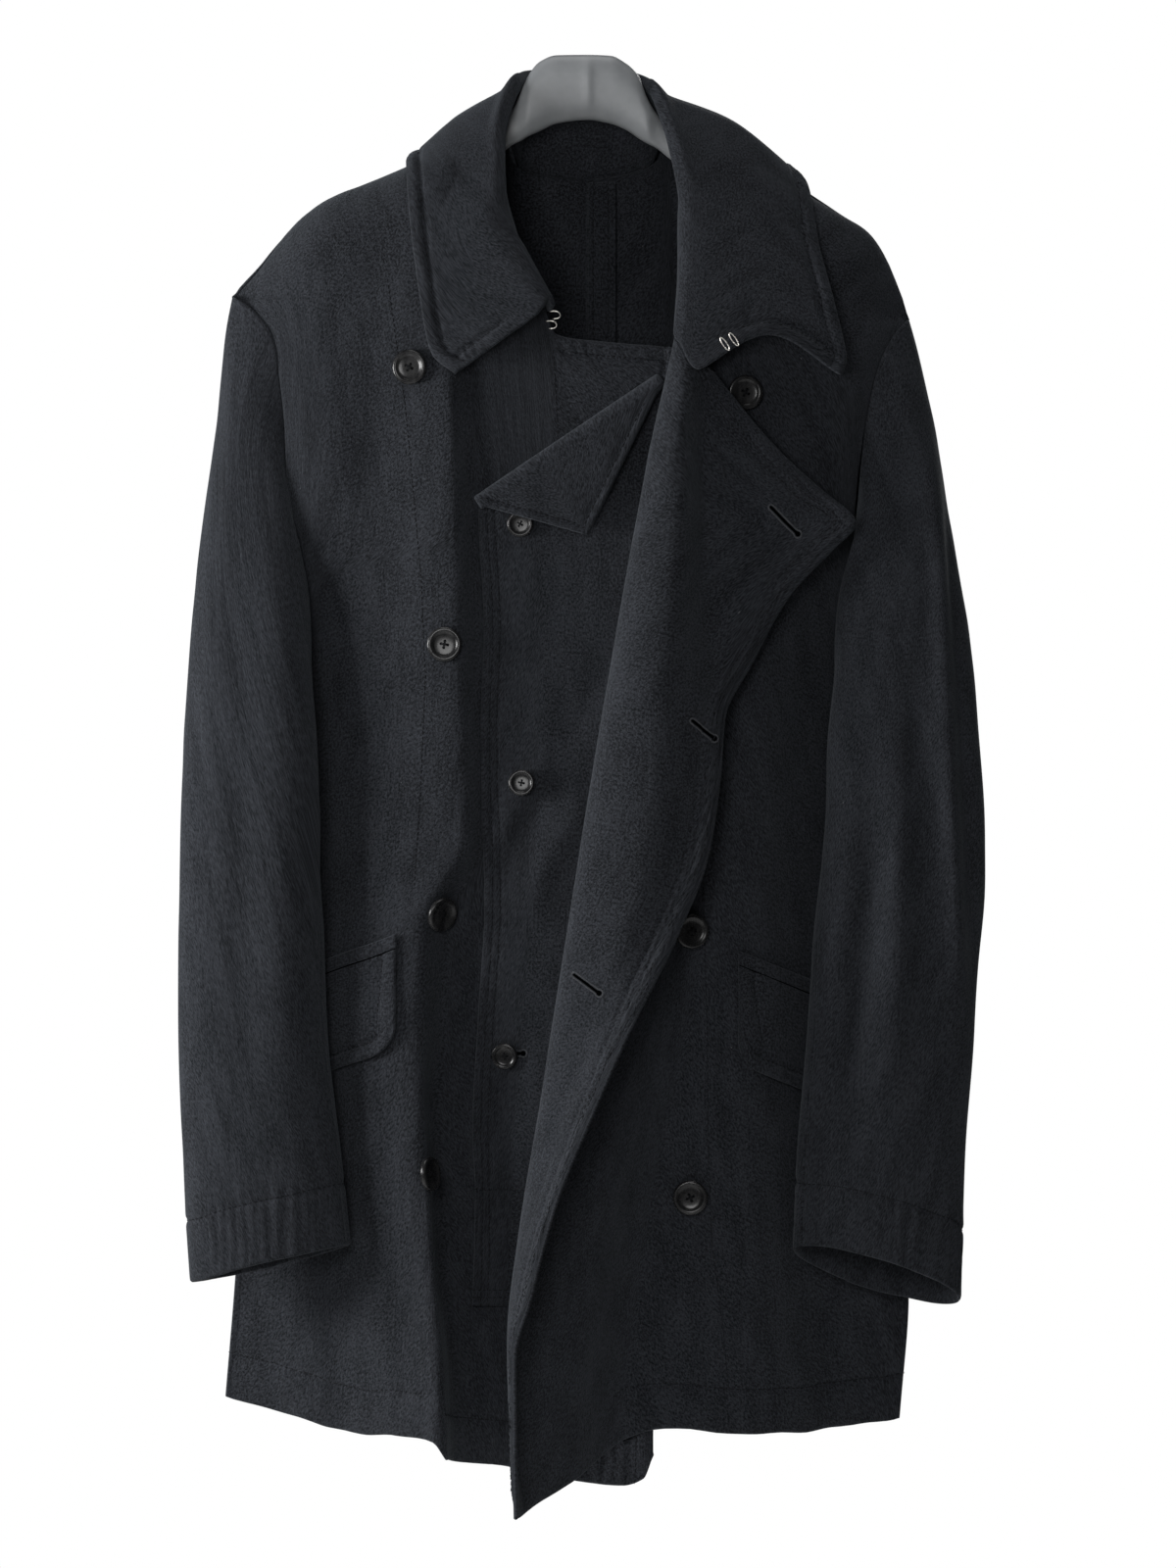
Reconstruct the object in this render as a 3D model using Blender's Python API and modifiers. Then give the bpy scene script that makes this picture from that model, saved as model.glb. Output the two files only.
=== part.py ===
"""Double-breasted military coat in napped wool, hanging open on a thick hanger.

Sizes are in millimetres and become metres when a mesh is made. The origin is the
middle of the hanger's top, +Z is up and the front of the coat faces -Y. Right and
left are the wearer's, so the right front lies at -X.
"""
import math

import bmesh
import bpy
import numpy as np
from mathutils import Vector

MM = 0.001

# Driving sizes of the cloth
WALL = 2.0
DOUBLE_WALL = 2.6
SEAM_GAP = 0.3
LAY_GAP = 0.8
SHOULDER_ROUND = 34.0
SIDE_DEPTH = 12.0
TOP_STEPS = (0.0, 2.5, 8.0, 17.0, 30.0, 46.0)

# Rows of each panel below its top steps, and how closely a place on a panel is found
RIGHT_FRONT_ROWS = 24
LEFT_FRONT_ROWS = 26
BACK_ROWS = 12
SHOULDER_GUESS = -100.0
SHOULDER_TURNS = 30
PLACE_TURNS = 24
NORMAL_STEP = 2.0

# Buttons, hooks and pockets
BIG_BUTTON_RADIUS = 11.7
SMALL_BUTTON_RADIUS = 8.8
BUTTON_SIDES = 12
BUTTON_GAP = 0.9
BUTTON_TILT_REACH = 0.8
BUTTON_RIM_TURNS = 16
BUTTON_RIM_SHARES = (0.4, 0.7, 1.0)
POCKET_FLAP_HEIGHT = 66.0
POCKET_WELT_HEIGHT = 8.0
HOOK_WIRE = 0.9

COAT_NAME = "military_coat"


class Table:
    """Rows of named sizes, read smoothly between rows along the first column."""

    def __init__(self, columns, *rows):
        self.columns = columns.split()
        self.rows = np.array(sorted(rows), dtype=float)

    def at(self, column, where):
        """Value of a column where the first column has the given value."""
        keys = self.rows[:, 0]
        values = self.rows[:, self.columns.index(column)]
        return monotone(keys, values, np.asarray(where, dtype=float))


def monotone(keys, values, where):
    """Cubic curve through the values that never passes above or below them."""
    step = np.diff(keys)
    rise = np.diff(values) / step
    slope = np.zeros(len(keys))
    slope[0] = rise[0]
    slope[-1] = rise[-1]
    for i in range(1, len(keys) - 1):
        if rise[i - 1] * rise[i] > 0.0:
            near = 2.0 * step[i] + step[i - 1]
            far = step[i] + 2.0 * step[i - 1]
            slope[i] = (near + far) / (near / rise[i - 1] + far / rise[i])
    where = np.clip(where, keys[0], keys[-1])
    k = np.clip(np.searchsorted(keys, where, side="right") - 1, 0, len(step) - 1)
    t = (where - keys[k]) / step[k]
    return hermite(values[k], values[k + 1], slope[k] * step[k], slope[k + 1] * step[k], t)


def hermite(start, end, start_tangent, end_tangent, t):
    """Cubic between two values with the given tangents."""
    t2 = t * t
    t3 = t2 * t
    return ((2 * t3 - 3 * t2 + 1) * start + (t3 - 2 * t2 + t) * start_tangent
            + (3 * t2 - 2 * t3) * end + (t3 - t2) * end_tangent)


def through(stations, s):
    """Smooth curve through a row of points, at a place counted in points."""
    count = len(stations)
    chords = [stations[k + 1] - stations[k] for k in range(count - 1)]
    lengths = [np.maximum(np.linalg.norm(c, axis=-1, keepdims=True), 1e-6) for c in chords]
    tangents = [chords[0]]
    for k in range(1, count - 1):
        direction = chords[k - 1] / lengths[k - 1] + chords[k] / lengths[k]
        size = np.maximum(np.linalg.norm(direction, axis=-1, keepdims=True), 1e-6)
        tangents.append(direction / size * np.minimum(lengths[k - 1], lengths[k]))
    tangents.append(chords[-1])
    out = np.zeros_like(stations[0])
    for k in range(count - 1):
        t = np.clip(s - k, 0.0, 1.0)[..., None]
        piece = hermite(stations[k], stations[k + 1], tangents[k], tangents[k + 1], t)
        inside = (s >= k) if k == count - 2 else (s >= k) & (s < k + 1)
        out = np.where(inside[..., None], piece, out)
    return out


def quarter_round(t):
    """Height of a quarter circle: 0 with an upright start, 1 and level at the end."""
    t = np.clip(t, 0.0, 1.0)
    return np.sqrt(np.maximum(1.0 - (1.0 - t) ** 2, 0.0))


# Shoulder lines, from the neck point out to the sleeve
SHOULDER_RIGHT = Table("x z", (-237, -162), (-220, -144), (-200, -118), (-175, -97), (-150, -87),
                       (-117, -72.5), (-72, -47), (-58, -39), (0, -10))
SHOULDER_LEFT = Table("x z", (214, -177), (206, -155), (198, -135), (187, -119), (167, -105.5),
                      (130, -82), (107, -68), (72, -52), (54, -43), (0, -12))

# Armholes: where the front and back panels end, and how far they stand apart
ARMHOLE_RIGHT = Table("z x", (-162, -236), (-172, -222), (-190, -209), (-215, -205), (-252, -200),
                      (-305, -197), (-350, -197), (-386, -203))
ARMHOLE_LEFT = Table("z x", (-177, 213), (-190, 202), (-215, 191), (-260, 182), (-310, 177),
                     (-355, 176), (-390, 181))
ARMHOLE_DEPTH = 30.0
ARMHOLE_FULLNESS = 2.5
FRONT = -1
BACK = 1

# Side seams below the armholes
SIDE_RIGHT = Table("z x", (-386, -203), (-500, -212), (-650, -224), (-808, -234), (-894, -241))
SIDE_LEFT = Table("z x", (-390, 181), (-500, 195), (-650, 206), (-826, 213), (-907, 207))


def opening(share):
    """How far an armhole opens at a share of its height, with a round bottom and top."""
    return (1.0 - np.abs(2.0 * share - 1.0) ** ARMHOLE_FULLNESS) ** (1.0 / ARMHOLE_FULLNESS)


class Side:
    """One side of the body: shoulder line, armhole and side seam."""

    def __init__(self, shoulder, armhole, seam):
        self.shoulder = shoulder
        self.armhole = armhole
        self.seam = seam
        self.underarm = armhole.rows[0, 0]
        self.top = armhole.rows[-1, 0]

    def edge_x(self, z):
        """Place of the panels' outer edge at a height."""
        return np.where(z > self.underarm, self.armhole.at("x", z), self.seam.at("x", z))

    def edge_y(self, z, spread):
        """Depth of that edge: the armhole opens by the spread, the seam doesn't."""
        turn = np.clip((z - self.underarm) / (self.top - self.underarm), 0.0, 1.0)
        return SIDE_DEPTH * (1.0 - turn) + spread * opening(turn)

    def armhole_loop(self, turn, away):
        """Armhole at a turn from its top round the front, moved away from the panels."""
        share = 0.5 * (1.0 + np.cos(turn))
        z = self.underarm + (self.top - self.underarm) * share
        outward = np.sign(self.armhole.rows[0, 1]) * away
        reach = (ARMHOLE_DEPTH + WALL) * opening(share) * np.sign(np.sin(turn))
        y = SIDE_DEPTH * (1.0 - share) - reach
        return np.stack([self.armhole.at("x", z) + outward, y, z - away * (1.0 - share)], axis=-1)


RIGHT = Side(SHOULDER_RIGHT, ARMHOLE_RIGHT, SIDE_RIGHT)
LEFT = Side(SHOULDER_LEFT, ARMHOLE_LEFT, SIDE_LEFT)


class Panel:
    """A cloth panel drawn through named lines that run from its top to its hem."""

    def __init__(self, side, facing, lines, tops, hems, spans):
        self.side = side
        self.spread = facing * ARMHOLE_DEPTH
        self.side_shift = facing * (WALL + SEAM_GAP)
        self.facing = facing
        self.lines = lines
        self.tops = tops
        self.hems = hems
        self.spans = spans

    def columns(self):
        """Places across the panel, counted in lines."""
        places = []
        for k, count in enumerate(self.spans):
            places.extend(k + i / count for i in range(count))
        return np.array(places + [float(len(self.spans))])

    def point(self, s, z):
        """Point of the outer face at a place across and a height."""
        s, z = np.broadcast_arrays(np.asarray(s, float), np.asarray(z, float))
        edge = np.stack([self.side.edge_x(z),
                         self.side.edge_y(z, self.spread) + self.side_shift], axis=-1)
        stations = [edge]
        for line in self.lines:
            stations.append(np.stack([line.at("x", z), line.at("y", z)], axis=-1))
        section = through(stations, s)
        x = section[..., 0]
        crown = quarter_round((self.side.shoulder.at("z", x) - z) / SHOULDER_ROUND)
        seam = self.facing * (SEAM_GAP + WALL * np.clip(1.0 - s, 0.0, 1.0))
        y = section[..., 1] * crown + seam * (1.0 - crown)
        return np.stack([x, y, z], axis=-1)

    def top(self, s):
        """Height of the panel's top edge: shoulder seam, then neckline and front."""
        z = np.full_like(s, SHOULDER_GUESS)
        for _ in range(SHOULDER_TURNS):
            z = 0.5 * z + 0.5 * self.side.shoulder.at("z", self.point(s, z)[..., 0])
        first = self.tops.rows[0, 0]
        return np.where(s < first, z - SEAM_GAP, self.tops.at("z", s))

    def grid(self, rows):
        """Points of the outer face, a row for each step down from the top edge."""
        s = self.columns()
        top = self.top(s)
        hem = self.hems.at("z", s)
        start = top - TOP_STEPS[-1]
        heights = [top - step for step in TOP_STEPS]
        heights += [start + (hem - start) * i / rows for i in range(1, rows + 1)]
        points = [self.point(s, z) for z in heights]
        return np.stack(points)

    def place(self, x, z, first, last):
        """Place across the panel of a point in the front view, between two lines."""
        x, z = np.broadcast_arrays(np.asarray(x, float), np.asarray(z, float))
        low = np.full(x.shape, float(first))
        high = np.full(x.shape, float(last))
        rising = self.point(high, z)[..., 0] > self.point(low, z)[..., 0]
        for _ in range(PLACE_TURNS):
            middle = 0.5 * (low + high)
            before = (self.point(middle, z)[..., 0] < x) == rising
            low = np.where(before, middle, low)
            high = np.where(before, high, middle)
        return 0.5 * (low + high)

    def at_x(self, x, z, first, last):
        """Point of the outer face at a place in the front view, between two lines."""
        return self.point(self.place(x, z, first, last), z)

    def laid(self, x, z, first, last, distance):
        """Point that lies off the outer face, straight out from it by a distance."""
        step = NORMAL_STEP
        middle = self.at_x(x, z, first, last)
        across = self.at_x(x + step, z, first, last) - self.at_x(x - step, z, first, last)
        down = self.at_x(x, z - step, first, last) - self.at_x(x, z + step, first, last)
        normal = np.cross(down, across)
        normal /= np.linalg.norm(normal, axis=-1, keepdims=True)
        return middle + normal * distance


# Right front, from the side seam to the free edge of its underlap
RIGHT_UNDER_SLEEVE = Table("z x y", (-100, -188, -30), (-250, -180, -33), (-330, -176, -26),
                           (-400, -180, -6), (-500, -180, 0), (-650, -176, 0), (-800, -168, 0),
                           (-910, -168, -2))
RIGHT_CHEST = Table("z x y", (-80, -140, -34), (-300, -140, -40), (-500, -140, -38),
                    (-650, -143, -36), (-800, -134, -36), (-920, -128, -34))
RIGHT_RIDGE = Table("z x y", (-60, -100, -36), (-217, -92, -46), (-400, -86, -48), (-520, -83, -48),
                    (-581, -112, -48), (-633, -114, -49), (-688, -108, -50), (-785, -102, -52),
                    (-850, -96, -52), (-931, -93, -52))
RIGHT_HOLLOW = Table("z x y", (-39, -58, -20), (-62, -67, -27), (-110, -77, -36),
                     (-217, -77, -37), (-400, -71, -37), (-520, -67, -36),
                     (-581, -92, -33), (-688, -92, -28), (-785, -87, -26), (-931, -79, -24))
RIGHT_UNDERLAP = Table("z x y", (-62, -50, -27), (-104, -43, -36), (-140, -37, -38),
                       (-172, -28, -38), (-300, -28, -36), (-420, -24, -33),
                       (-540, -30, -36), (-700, -35, -27), (-820, -32, -23), (-941, -32, -22))
RIGHT_EDGE = Table("z x y", (-200, 60, -36), (-400, 52, -32), (-600, 46, -30), (-920, 43, -24))
RIGHT_TOPS = Table("s z", (4, -39.3), (4.33, -58), (4.67, -104), (5, -172), (5.12, -188), (5.5, -193), (6, -197))
RIGHT_HEMS = Table("s z", (0, -894), (0.5, -903), (1, -913), (2, -918), (2.7, -921), (3, -932),
                   (4, -935), (5, -943), (5.75, -952), (5.92, -947), (6, -932))

# Left front, from the side seam through the turned-back overlap to its free edge
LEFT_UNDER_SLEEVE = Table("z x y", (-105, 172, -30), (-250, 164, -32), (-330, 157, -27),
                          (-400, 163, -6), (-500, 162, -1), (-650, 160, -1), (-800, 160, -1),
                          (-912, 164, -3))
LEFT_CHEST = Table("z x y", (-80, 128, -34), (-300, 124, -38), (-500, 118, -38), (-650, 112, -36),
                   (-800, 110, -34), (-916, 112, -33))
LEFT_NECK = Table("z x y", (-43, 54, -20), (-62, 64, -27), (-120, 83, -38), (-190, 86, -42),
                  (-300, 84, -42), (-420, 84, -43), (-560, 78, -43), (-640, 66, -40), (-734, 47, -36),
                  (-822, 33, -34), (-922, 20, -33))
LEFT_STEP = Table("z x y", (-50, 46, -22), (-80, 58, -32), (-120, 63, -40), (-190, 69, -46),
                  (-274, 64, -47), (-413, 48, -49),
                  (-560, 40, -52), (-640, 34, -54), (-734, 16, -57), (-822, 0, -60), (-940, -8, -56))
LEFT_FOLD = Table("z x y", (-190, 59, -51), (-274, 41, -57), (-413, 16, -60), (-540, -5, -62),
                  (-692, -29, -70), (-793, -45, -82), (-850, -51, -90), (-937, -47, -88),
                  (-968, -41, -86))
LEFT_CREST = Table("z x y", (-196, 66, -58), (-230, 62, -68), (-274, 60, -74), (-413, 48, -80),
                   (-540, 32, -82), (-653, 0, -88), (-713, -18, -94), (-765, -33, -100),
                   (-822, -45, -106), (-865, -50, -104), (-970, -46, -97))
LEFT_VALLEY = Table("z x y", (-208, 78, -54), (-274, 78, -53), (-360, 80, -54), (-413, 83, -57),
                    (-453, 76, -68), (-533, 62, -74), (-588, 40, -82), (-653, 16, -97),
                    (-713, -8, -105), (-765, -26, -111), (-822, -40, -114), (-865, -49, -111),
                    (-970, -47, -105))
LEFT_EDGE = Table("z x y", (-214, 84, -53), (-263, 124, -49), (-290, 153, -47), (-313, 177, -50),
                  (-330, 162, -50), (-361, 133, -52), (-406, 108, -55), (-442, 90, -62),
                  (-481, 87, -69), (-533, 79, -73), (-588, 58, -83), (-653, 26, -104),
                  (-713, 0, -112), (-765, -21, -117), (-822, -36, -119), (-865, -47, -117),
                  (-970, -46, -112))
LEFT_TOPS = Table("s z", (3, -43.3), (3.33, -60), (3.67, -88), (4, -120), (5, -190),
                  (6, -197), (7, -208), (8, -214))
LEFT_HEMS = Table("s z", (0, -907), (1, -914), (2, -916), (2.6, -913), (3, -922), (4, -945),
                  (5, -966), (6, -969), (7, -970), (8, -970))

# Back panels, from the side seam to the centre back seam
BACK_BLADE_RIGHT = Table("z x y", (-90, -140, 34), (-300, -140, 40), (-900, -140, 36))
BACK_BLADE_LEFT = Table("z x y", (-90, 130, 34), (-300, 128, 40), (-910, 120, 36))
BACK_NECK_RIGHT = Table("z x y", (-39, -58, 34), (-300, -66, 42), (-900, -70, 42))
BACK_NECK_LEFT = Table("z x y", (-43, 54, 34), (-300, 62, 42), (-910, 60, 42))
BACK_CENTRE_RIGHT = Table("z x y", (-82, -0.15, 38), (-300, -0.15, 44), (-900, -0.15, 44))
BACK_CENTRE_LEFT = Table("z x y", (-82, 0.15, 38), (-300, 0.15, 44), (-900, 0.15, 44))
BACK_TOPS_RIGHT = Table("s z", (2, -39.3), (2.07, -58), (2.16, -72), (2.35, -78), (2.65, -81), (3, -82))
BACK_TOPS_LEFT = Table("s z", (2, -43.3), (2.07, -58), (2.16, -70), (2.35, -76), (2.65, -80), (3, -82))
BACK_HEMS_RIGHT = Table("s z", (0, -894), (1, -902), (3, -906))
BACK_HEMS_LEFT = Table("s z", (0, -907), (1, -908), (3, -906))

# Sleeve rings: the outer and inner ends of each ring and half its depth
SLEEVE_RIGHT = Table("ring z_out x_out y_out z_in x_in y_in depth",
                     (0, -165, -240, 0, -389, -207, 12, 31),
                     (1, -190, -243, -2, -404, -210, 8, 34),
                     (2, -240, -247, -6, -428, -209, -5, 34),
                     (3, -310, -256, -14, -468, -201, -20, 31),
                     (4, -400, -265, -24, -512, -186, -32, 28),
                     (5, -520, -271, -32, -572, -177, -35, 26),
                     (6, -640, -272, -34, -655, -172, -36, 25),
                     (7, -735, -269, -35, -732, -163, -36, 24),
                     (8, -814, -264, -36, -789, -157, -36, 23))
SLEEVE_LEFT = Table("ring z_out x_out y_out z_in x_in y_in depth",
                    (0, -180, 217, 0, -393, 185, 12, 31),
                    (1, -205, 222, -2, -408, 188, 8, 34),
                    (2, -253, 231, -6, -432, 187, -5, 34),
                    (3, -329, 245, -14, -468, 177, -21, 31),
                    (4, -422, 257, -24, -512, 163, -32, 28),
                    (5, -535, 263, -32, -574, 151, -35, 26),
                    (6, -648, 256, -34, -657, 145, -36, 25),
                    (7, -742, 249, -35, -735, 139, -36, 24),
                    (8, -824, 247, -36, -791, 137, -36, 23))
SLEEVE_FOLD = Table("ring inward forward", (0, 0, 0), (0.5, 13, 9), (1, 24, 10), (2, 31, 5), (3, 29, 2),
                    (4, 17, 0), (5, 5, 0), (6, 0, 0), (8, 0, 0))
SLEEVE_FOLD_FIRST = 0.3 * math.pi
SLEEVE_FOLD_LAST = 1.08 * math.pi
SLEEVE_ROWS = 15
SLEEVE_FRONT_SEAM = 0.87 * math.pi
SLEEVE_BACK_SEAM = -0.62 * math.pi
SLEEVE_UPPER_SIDES = 17
SLEEVE_UNDER_SIDES = 6
SLEEVE_HEAD_RINGS = 2.5
SLEEVE_SLIT = 0.027
SLEEVE_SEAM_GAP = 0.6

# Collar stations from the right front round the neck to the left front: the place on the
# panels' neckline, the roll, the outer edge of the fall, and how its middle rises or dips
COLLAR = Table("station neck xr yr zr xe ye ze dip rise",
               (0, 5.00, -22, -49, -166, -88, -54, -213, 0, 0),
               (1, 4.83, -38, -46, -134, -103, -50, -200, 0, 2),
               (2, 4.66, -54, -43, -98, -113, -47, -150, 0, 3),
               (3, 4.36, -55, -30, -56, -119, -38, -98, 0, 3),
               (4, 4.00, -44, -1, -18, -121, -6, -71, 0, 5),
               (5, 2.20, -38, 16, -14, -112, 34, -66, 0, 5),
               (6, 2.60, -23, 29, -12, -66, 54, -88, 0, 2),
               (7, 3.00, 0, 33, -12, 0, 57, -100, 0, 0),
               (8, 2.60, 22, 29, -13, 66, 54, -90, 0, 2),
               (9, 2.20, 34, 16, -17, 124, 34, -73, 0, 8),
               (10, 3.00, 39, -1, -21, 145, -8, -84, 0, 9),
               (11, 3.35, 53, -31, -58, 153, -40, -126, 0, 4),
               (12, 3.80, 61, -45, -104, 163, -50, -166, 0, 4),
               (13, 4.20, 61, -53, -144, 171, -54, -203, -4, 8),
               (14, 4.50, 57, -62, -187, 168, -57, -214, -18, 25))
COLLAR_STATIONS = 35
COLLAR_BACK_FIRST = 4.5
COLLAR_BACK_LAST = 9.5
COLLAR_ROLL_WIDTH = 11.5
COLLAR_FADE = 8.0
COLLAR_SEAM_LIFT = 3.2
COLLAR_FRONT_LIFT = 1.6
COLLAR_FRONT_DEPTH = 30.0
COLLAR_LEAN = 0.6
COLLAR_CREST = 3.5
COLLAR_CREST_DIP = 0.6
COLLAR_STAND_DROP = 2.0
COLLAR_FALL_DROP = 4.0
COLLAR_FALL_EASE = 0.06
COLLAR_CLEARANCE = DOUBLE_WALL + LAY_GAP + 0.6
COLLAR_PLACES = (0.0, 0.55, 1.0, 1.5, 2.0, 2.5, 3.0, 3.35, 3.7, 4.0, 4.35, 4.7, 5.0)

# Hanger sections from end to end
HANGER = Table("x top bottom depth",
               (-194, -120, -142, 9), (-170, -101, -136, 14), (-117, -75.4, -108, 13),
               (-72, -50.8, -77, 8), (-58, -44.5, -66, 5), (-50, -36, -60, 5), (-44, -23, -57, 6.5),
               (-39, -12.5, -54, 8), (-32, -4.5, -51, 8), (-21, -0.3, -46, 8), (0, 0, -43.5, 8),
               (15, -0.6, -46, 8), (25, -5.5, -50, 8), (34, -14.5, -56, 8), (39, -28, -59, 8),
               (45, -38, -62, 6), (54, -48.5, -69, 5), (72, -55.8, -82, 8), (107, -71, -104, 13),
               (160, -106, -140, 14), (178, -122, -146, 9))
HANGER_SIDES = 10
HANGER_SECTIONS = 35

# Inner flap on the right front's underlap, with its top corner folded over
INNER_FLAP = Table("z left right", (-215, -72, 49), (-300, -72, 48), (-382, -68, 46), (-447, -70, 42),
                   (-567, -68, 26), (-634, -72, 16), (-715, -76, 4), (-761, -74, -4), (-832, -75, -15))
FLAP_FOLD_LOW = -300.0
FLAP_FOLD_RISE = 81.0
FLAP_BOTTOM = -832.0
FLAP_CORNER_AT = 0.334
FLAP_CORNER_LENGTH = 56.6
FLAP_CORNER_LEAST = 3.0
FLAP_CORNER_SHARES = (1.0, 0.7, 0.4, 0.12)
FLAP_FOLD_ROLL = 3.4
FLAP_FOLD_TURNS = (150.0, 90.0, 30.0)
FLAP_COLUMNS = 9
FLAP_ROWS = 20

# Pocket flaps: inner top corner, slope towards the side and width
POCKETS = Table("side x z slope width", (-1, -126, -594, 0.43, 80), (1, 100, -605, 0.42, 80))
POCKET_CORNER = 14.0
POCKET_GAP = 1.0
POCKET_COLUMNS = 6
POCKET_ROWS = 4

# Buttons: where each column of buttons sits in the front view
RIGHT_BUTTONS = Table("number x z lift", (1, -118, -209, 0), (2, -95, -393, -0.8), (3, -99, -571, 1),
                      (4, -105, -744, -1))
LEFT_BUTTONS = Table("number x z lift", (1, 104, -226, 0), (2, 95, -398, 0), (3, 68, -583, 0),
                     (4, 68, -760, 0))
INNER_BUTTONS = Table("number x z lift", (1, -45, -313, 0), (2, -44, -485, 0), (3, -55, -666, 0))
BUTTON_PROFILE = Table("step radius height", (0, 0.0, 0.34), (1, 0.55, 0.30), (2, 0.80, 0.36),
                       (3, 0.94, 0.33), (4, 1.0, 0.20), (5, 0.93, 0.0), (6, 0.0, 0.0))

# Felled seam allowance on the inside of the centre back
BAND_FIRST = 0.8
BAND_WIDTH = 18.0
BAND_WALL = 1.2
BAND_TOP_INSET = 2.0
BAND_HEM_INSET = 3.0
BAND_ROWS = 14

# Collar hooks and eyes
HOOKS = Table("number x z", (1, -29.5, -172.5), (2, -32, -179))
EYES = Table("number x y z", (1, 90.5, -67.6, -194.5), (2, 96.5, -66.6, -191.5))
EYE_SIZES = (4.6, 2.2)
EYE_SLANT = math.radians(-55.0)
EYE_TURNS = 9
HOOK_LIFT = HOOK_WIRE + 2.0 * SEAM_GAP
HOOK_BEND = Table("step x z", (0, 0, 0), (1, 7, 0.6), (2, 10.4, -0.4), (3, 11.4, -2.2), (4, 10.2, -4),
                  (5, 6.5, -4.4))


def material(name, colour, roughness, metallic=0.0):
    """Principled material with a plain colour."""
    made = bpy.data.materials.new(name)
    made.use_nodes = True
    shader = made.node_tree.nodes["Principled BSDF"]
    shader.inputs["Base Color"].default_value = (*colour, 1.0)
    shader.inputs["Roughness"].default_value = roughness
    shader.inputs["Metallic"].default_value = metallic
    made.diffuse_color = (*colour, 1.0)
    return made


def new_object(name, mesh, finish, collection):
    """Object for a mesh, in the coat's collection, shaded smooth."""
    made = bpy.data.objects.new(name, mesh)
    collection.objects.link(made)
    mesh.materials.append(finish)
    mesh.shade_smooth()
    return made


def grid_mesh(name, grid, closed=False, capped=False):
    """Mesh through a grid of points in millimetres, rows down and columns across."""
    rows, columns = grid.shape[:2]
    shape = bmesh.new()
    verts = [[shape.verts.new(Vector(p) * MM) for p in row] for row in grid.tolist()]
    last = columns if closed else columns - 1
    for i in range(rows - 1):
        for j in range(last):
            k = (j + 1) % columns
            shape.faces.new((verts[i][j], verts[i + 1][j], verts[i + 1][k], verts[i][k]))
    if capped:
        shape.faces.new(verts[0])
        shape.faces.new(verts[-1][::-1])
    mesh = bpy.data.meshes.new(name)
    shape.to_mesh(mesh)
    shape.free()
    return mesh


def cloth(name, grid, wall, finish, collection, turned=False):
    """Cloth piece: the grid is its outer face and the wall lies behind it."""
    if turned:
        grid = grid[:, ::-1]
    made = new_object(name, grid_mesh(name, grid), finish, collection)
    solidify = made.modifiers.new("wall", "SOLIDIFY")
    solidify.thickness = wall * MM
    solidify.offset = -1.0
    solidify.use_quality_normals = True
    return made


def panels():
    """The four body panels by name."""
    return {
        "right_front": Panel(RIGHT, FRONT,
                             (RIGHT_UNDER_SLEEVE, RIGHT_CHEST, RIGHT_RIDGE, RIGHT_HOLLOW,
                              RIGHT_UNDERLAP, RIGHT_EDGE), RIGHT_TOPS, RIGHT_HEMS, (3, 3, 3, 3, 3, 4)),
        "left_front": Panel(LEFT, FRONT,
                            (LEFT_UNDER_SLEEVE, LEFT_CHEST, LEFT_NECK, LEFT_STEP, LEFT_FOLD,
                             LEFT_CREST, LEFT_VALLEY, LEFT_EDGE), LEFT_TOPS, LEFT_HEMS,
                            (3, 3, 3, 3, 3, 3, 3, 4)),
        "back_right": Panel(RIGHT, BACK,
                            (BACK_BLADE_RIGHT, BACK_NECK_RIGHT, BACK_CENTRE_RIGHT), BACK_TOPS_RIGHT,
                            BACK_HEMS_RIGHT, (4, 3, 5)),
        "back_left": Panel(LEFT, BACK,
                           (BACK_BLADE_LEFT, BACK_NECK_LEFT, BACK_CENTRE_LEFT), BACK_TOPS_LEFT,
                           BACK_HEMS_LEFT, (4, 3, 5)),
    }


def build_body(body, finish, collection):
    """Fronts and backs."""
    cloth("right_front", body["right_front"].grid(RIGHT_FRONT_ROWS), WALL, finish, collection)
    cloth("left_front", body["left_front"].grid(LEFT_FRONT_ROWS), WALL, finish, collection, turned=True)
    cloth("back_right", body["back_right"].grid(BACK_ROWS), WALL, finish, collection, turned=True)
    cloth("back_left", body["back_left"].grid(BACK_ROWS), WALL, finish, collection)


def sleeve_point(side, table, ring, turn):
    """Point of a sleeve at a ring and a turn from its outer end round the front."""
    ring, turn = np.broadcast_arrays(ring, turn)
    outer = 0.5 * (1.0 + np.cos(turn))

    def mix(name):
        return table.at(name + "_in", ring) * (1 - outer) + table.at(name + "_out", ring) * outer

    y = mix("y") - table.at("depth", ring) * np.sin(turn)
    tube = np.stack([mix("x"), y, mix("z")], axis=-1)
    head = np.clip(1.0 - ring / SLEEVE_HEAD_RINGS, 0.0, 1.0)[..., None]
    armhole = side.armhole_loop(turn, WALL + SLEEVE_SEAM_GAP)
    return tube + (armhole - sleeve_ring(table, turn)) * head ** 2 + sleeve_fold(table, ring, turn)


def sleeve_fold(table, ring, turn):
    """How far the front of the sleeve hangs in over the body, in front of the armhole."""
    share = np.clip((turn - SLEEVE_FOLD_FIRST) / (SLEEVE_FOLD_LAST - SLEEVE_FOLD_FIRST), 0.0, 1.0)
    bulge = np.sin(math.pi * share) ** 2
    inward = -np.sign(table.at("x_in", ring)) * SLEEVE_FOLD.at("inward", ring)
    forward = -SLEEVE_FOLD.at("forward", ring)
    return np.stack([inward * bulge, forward * bulge, 0.0 * bulge], axis=-1)


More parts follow.
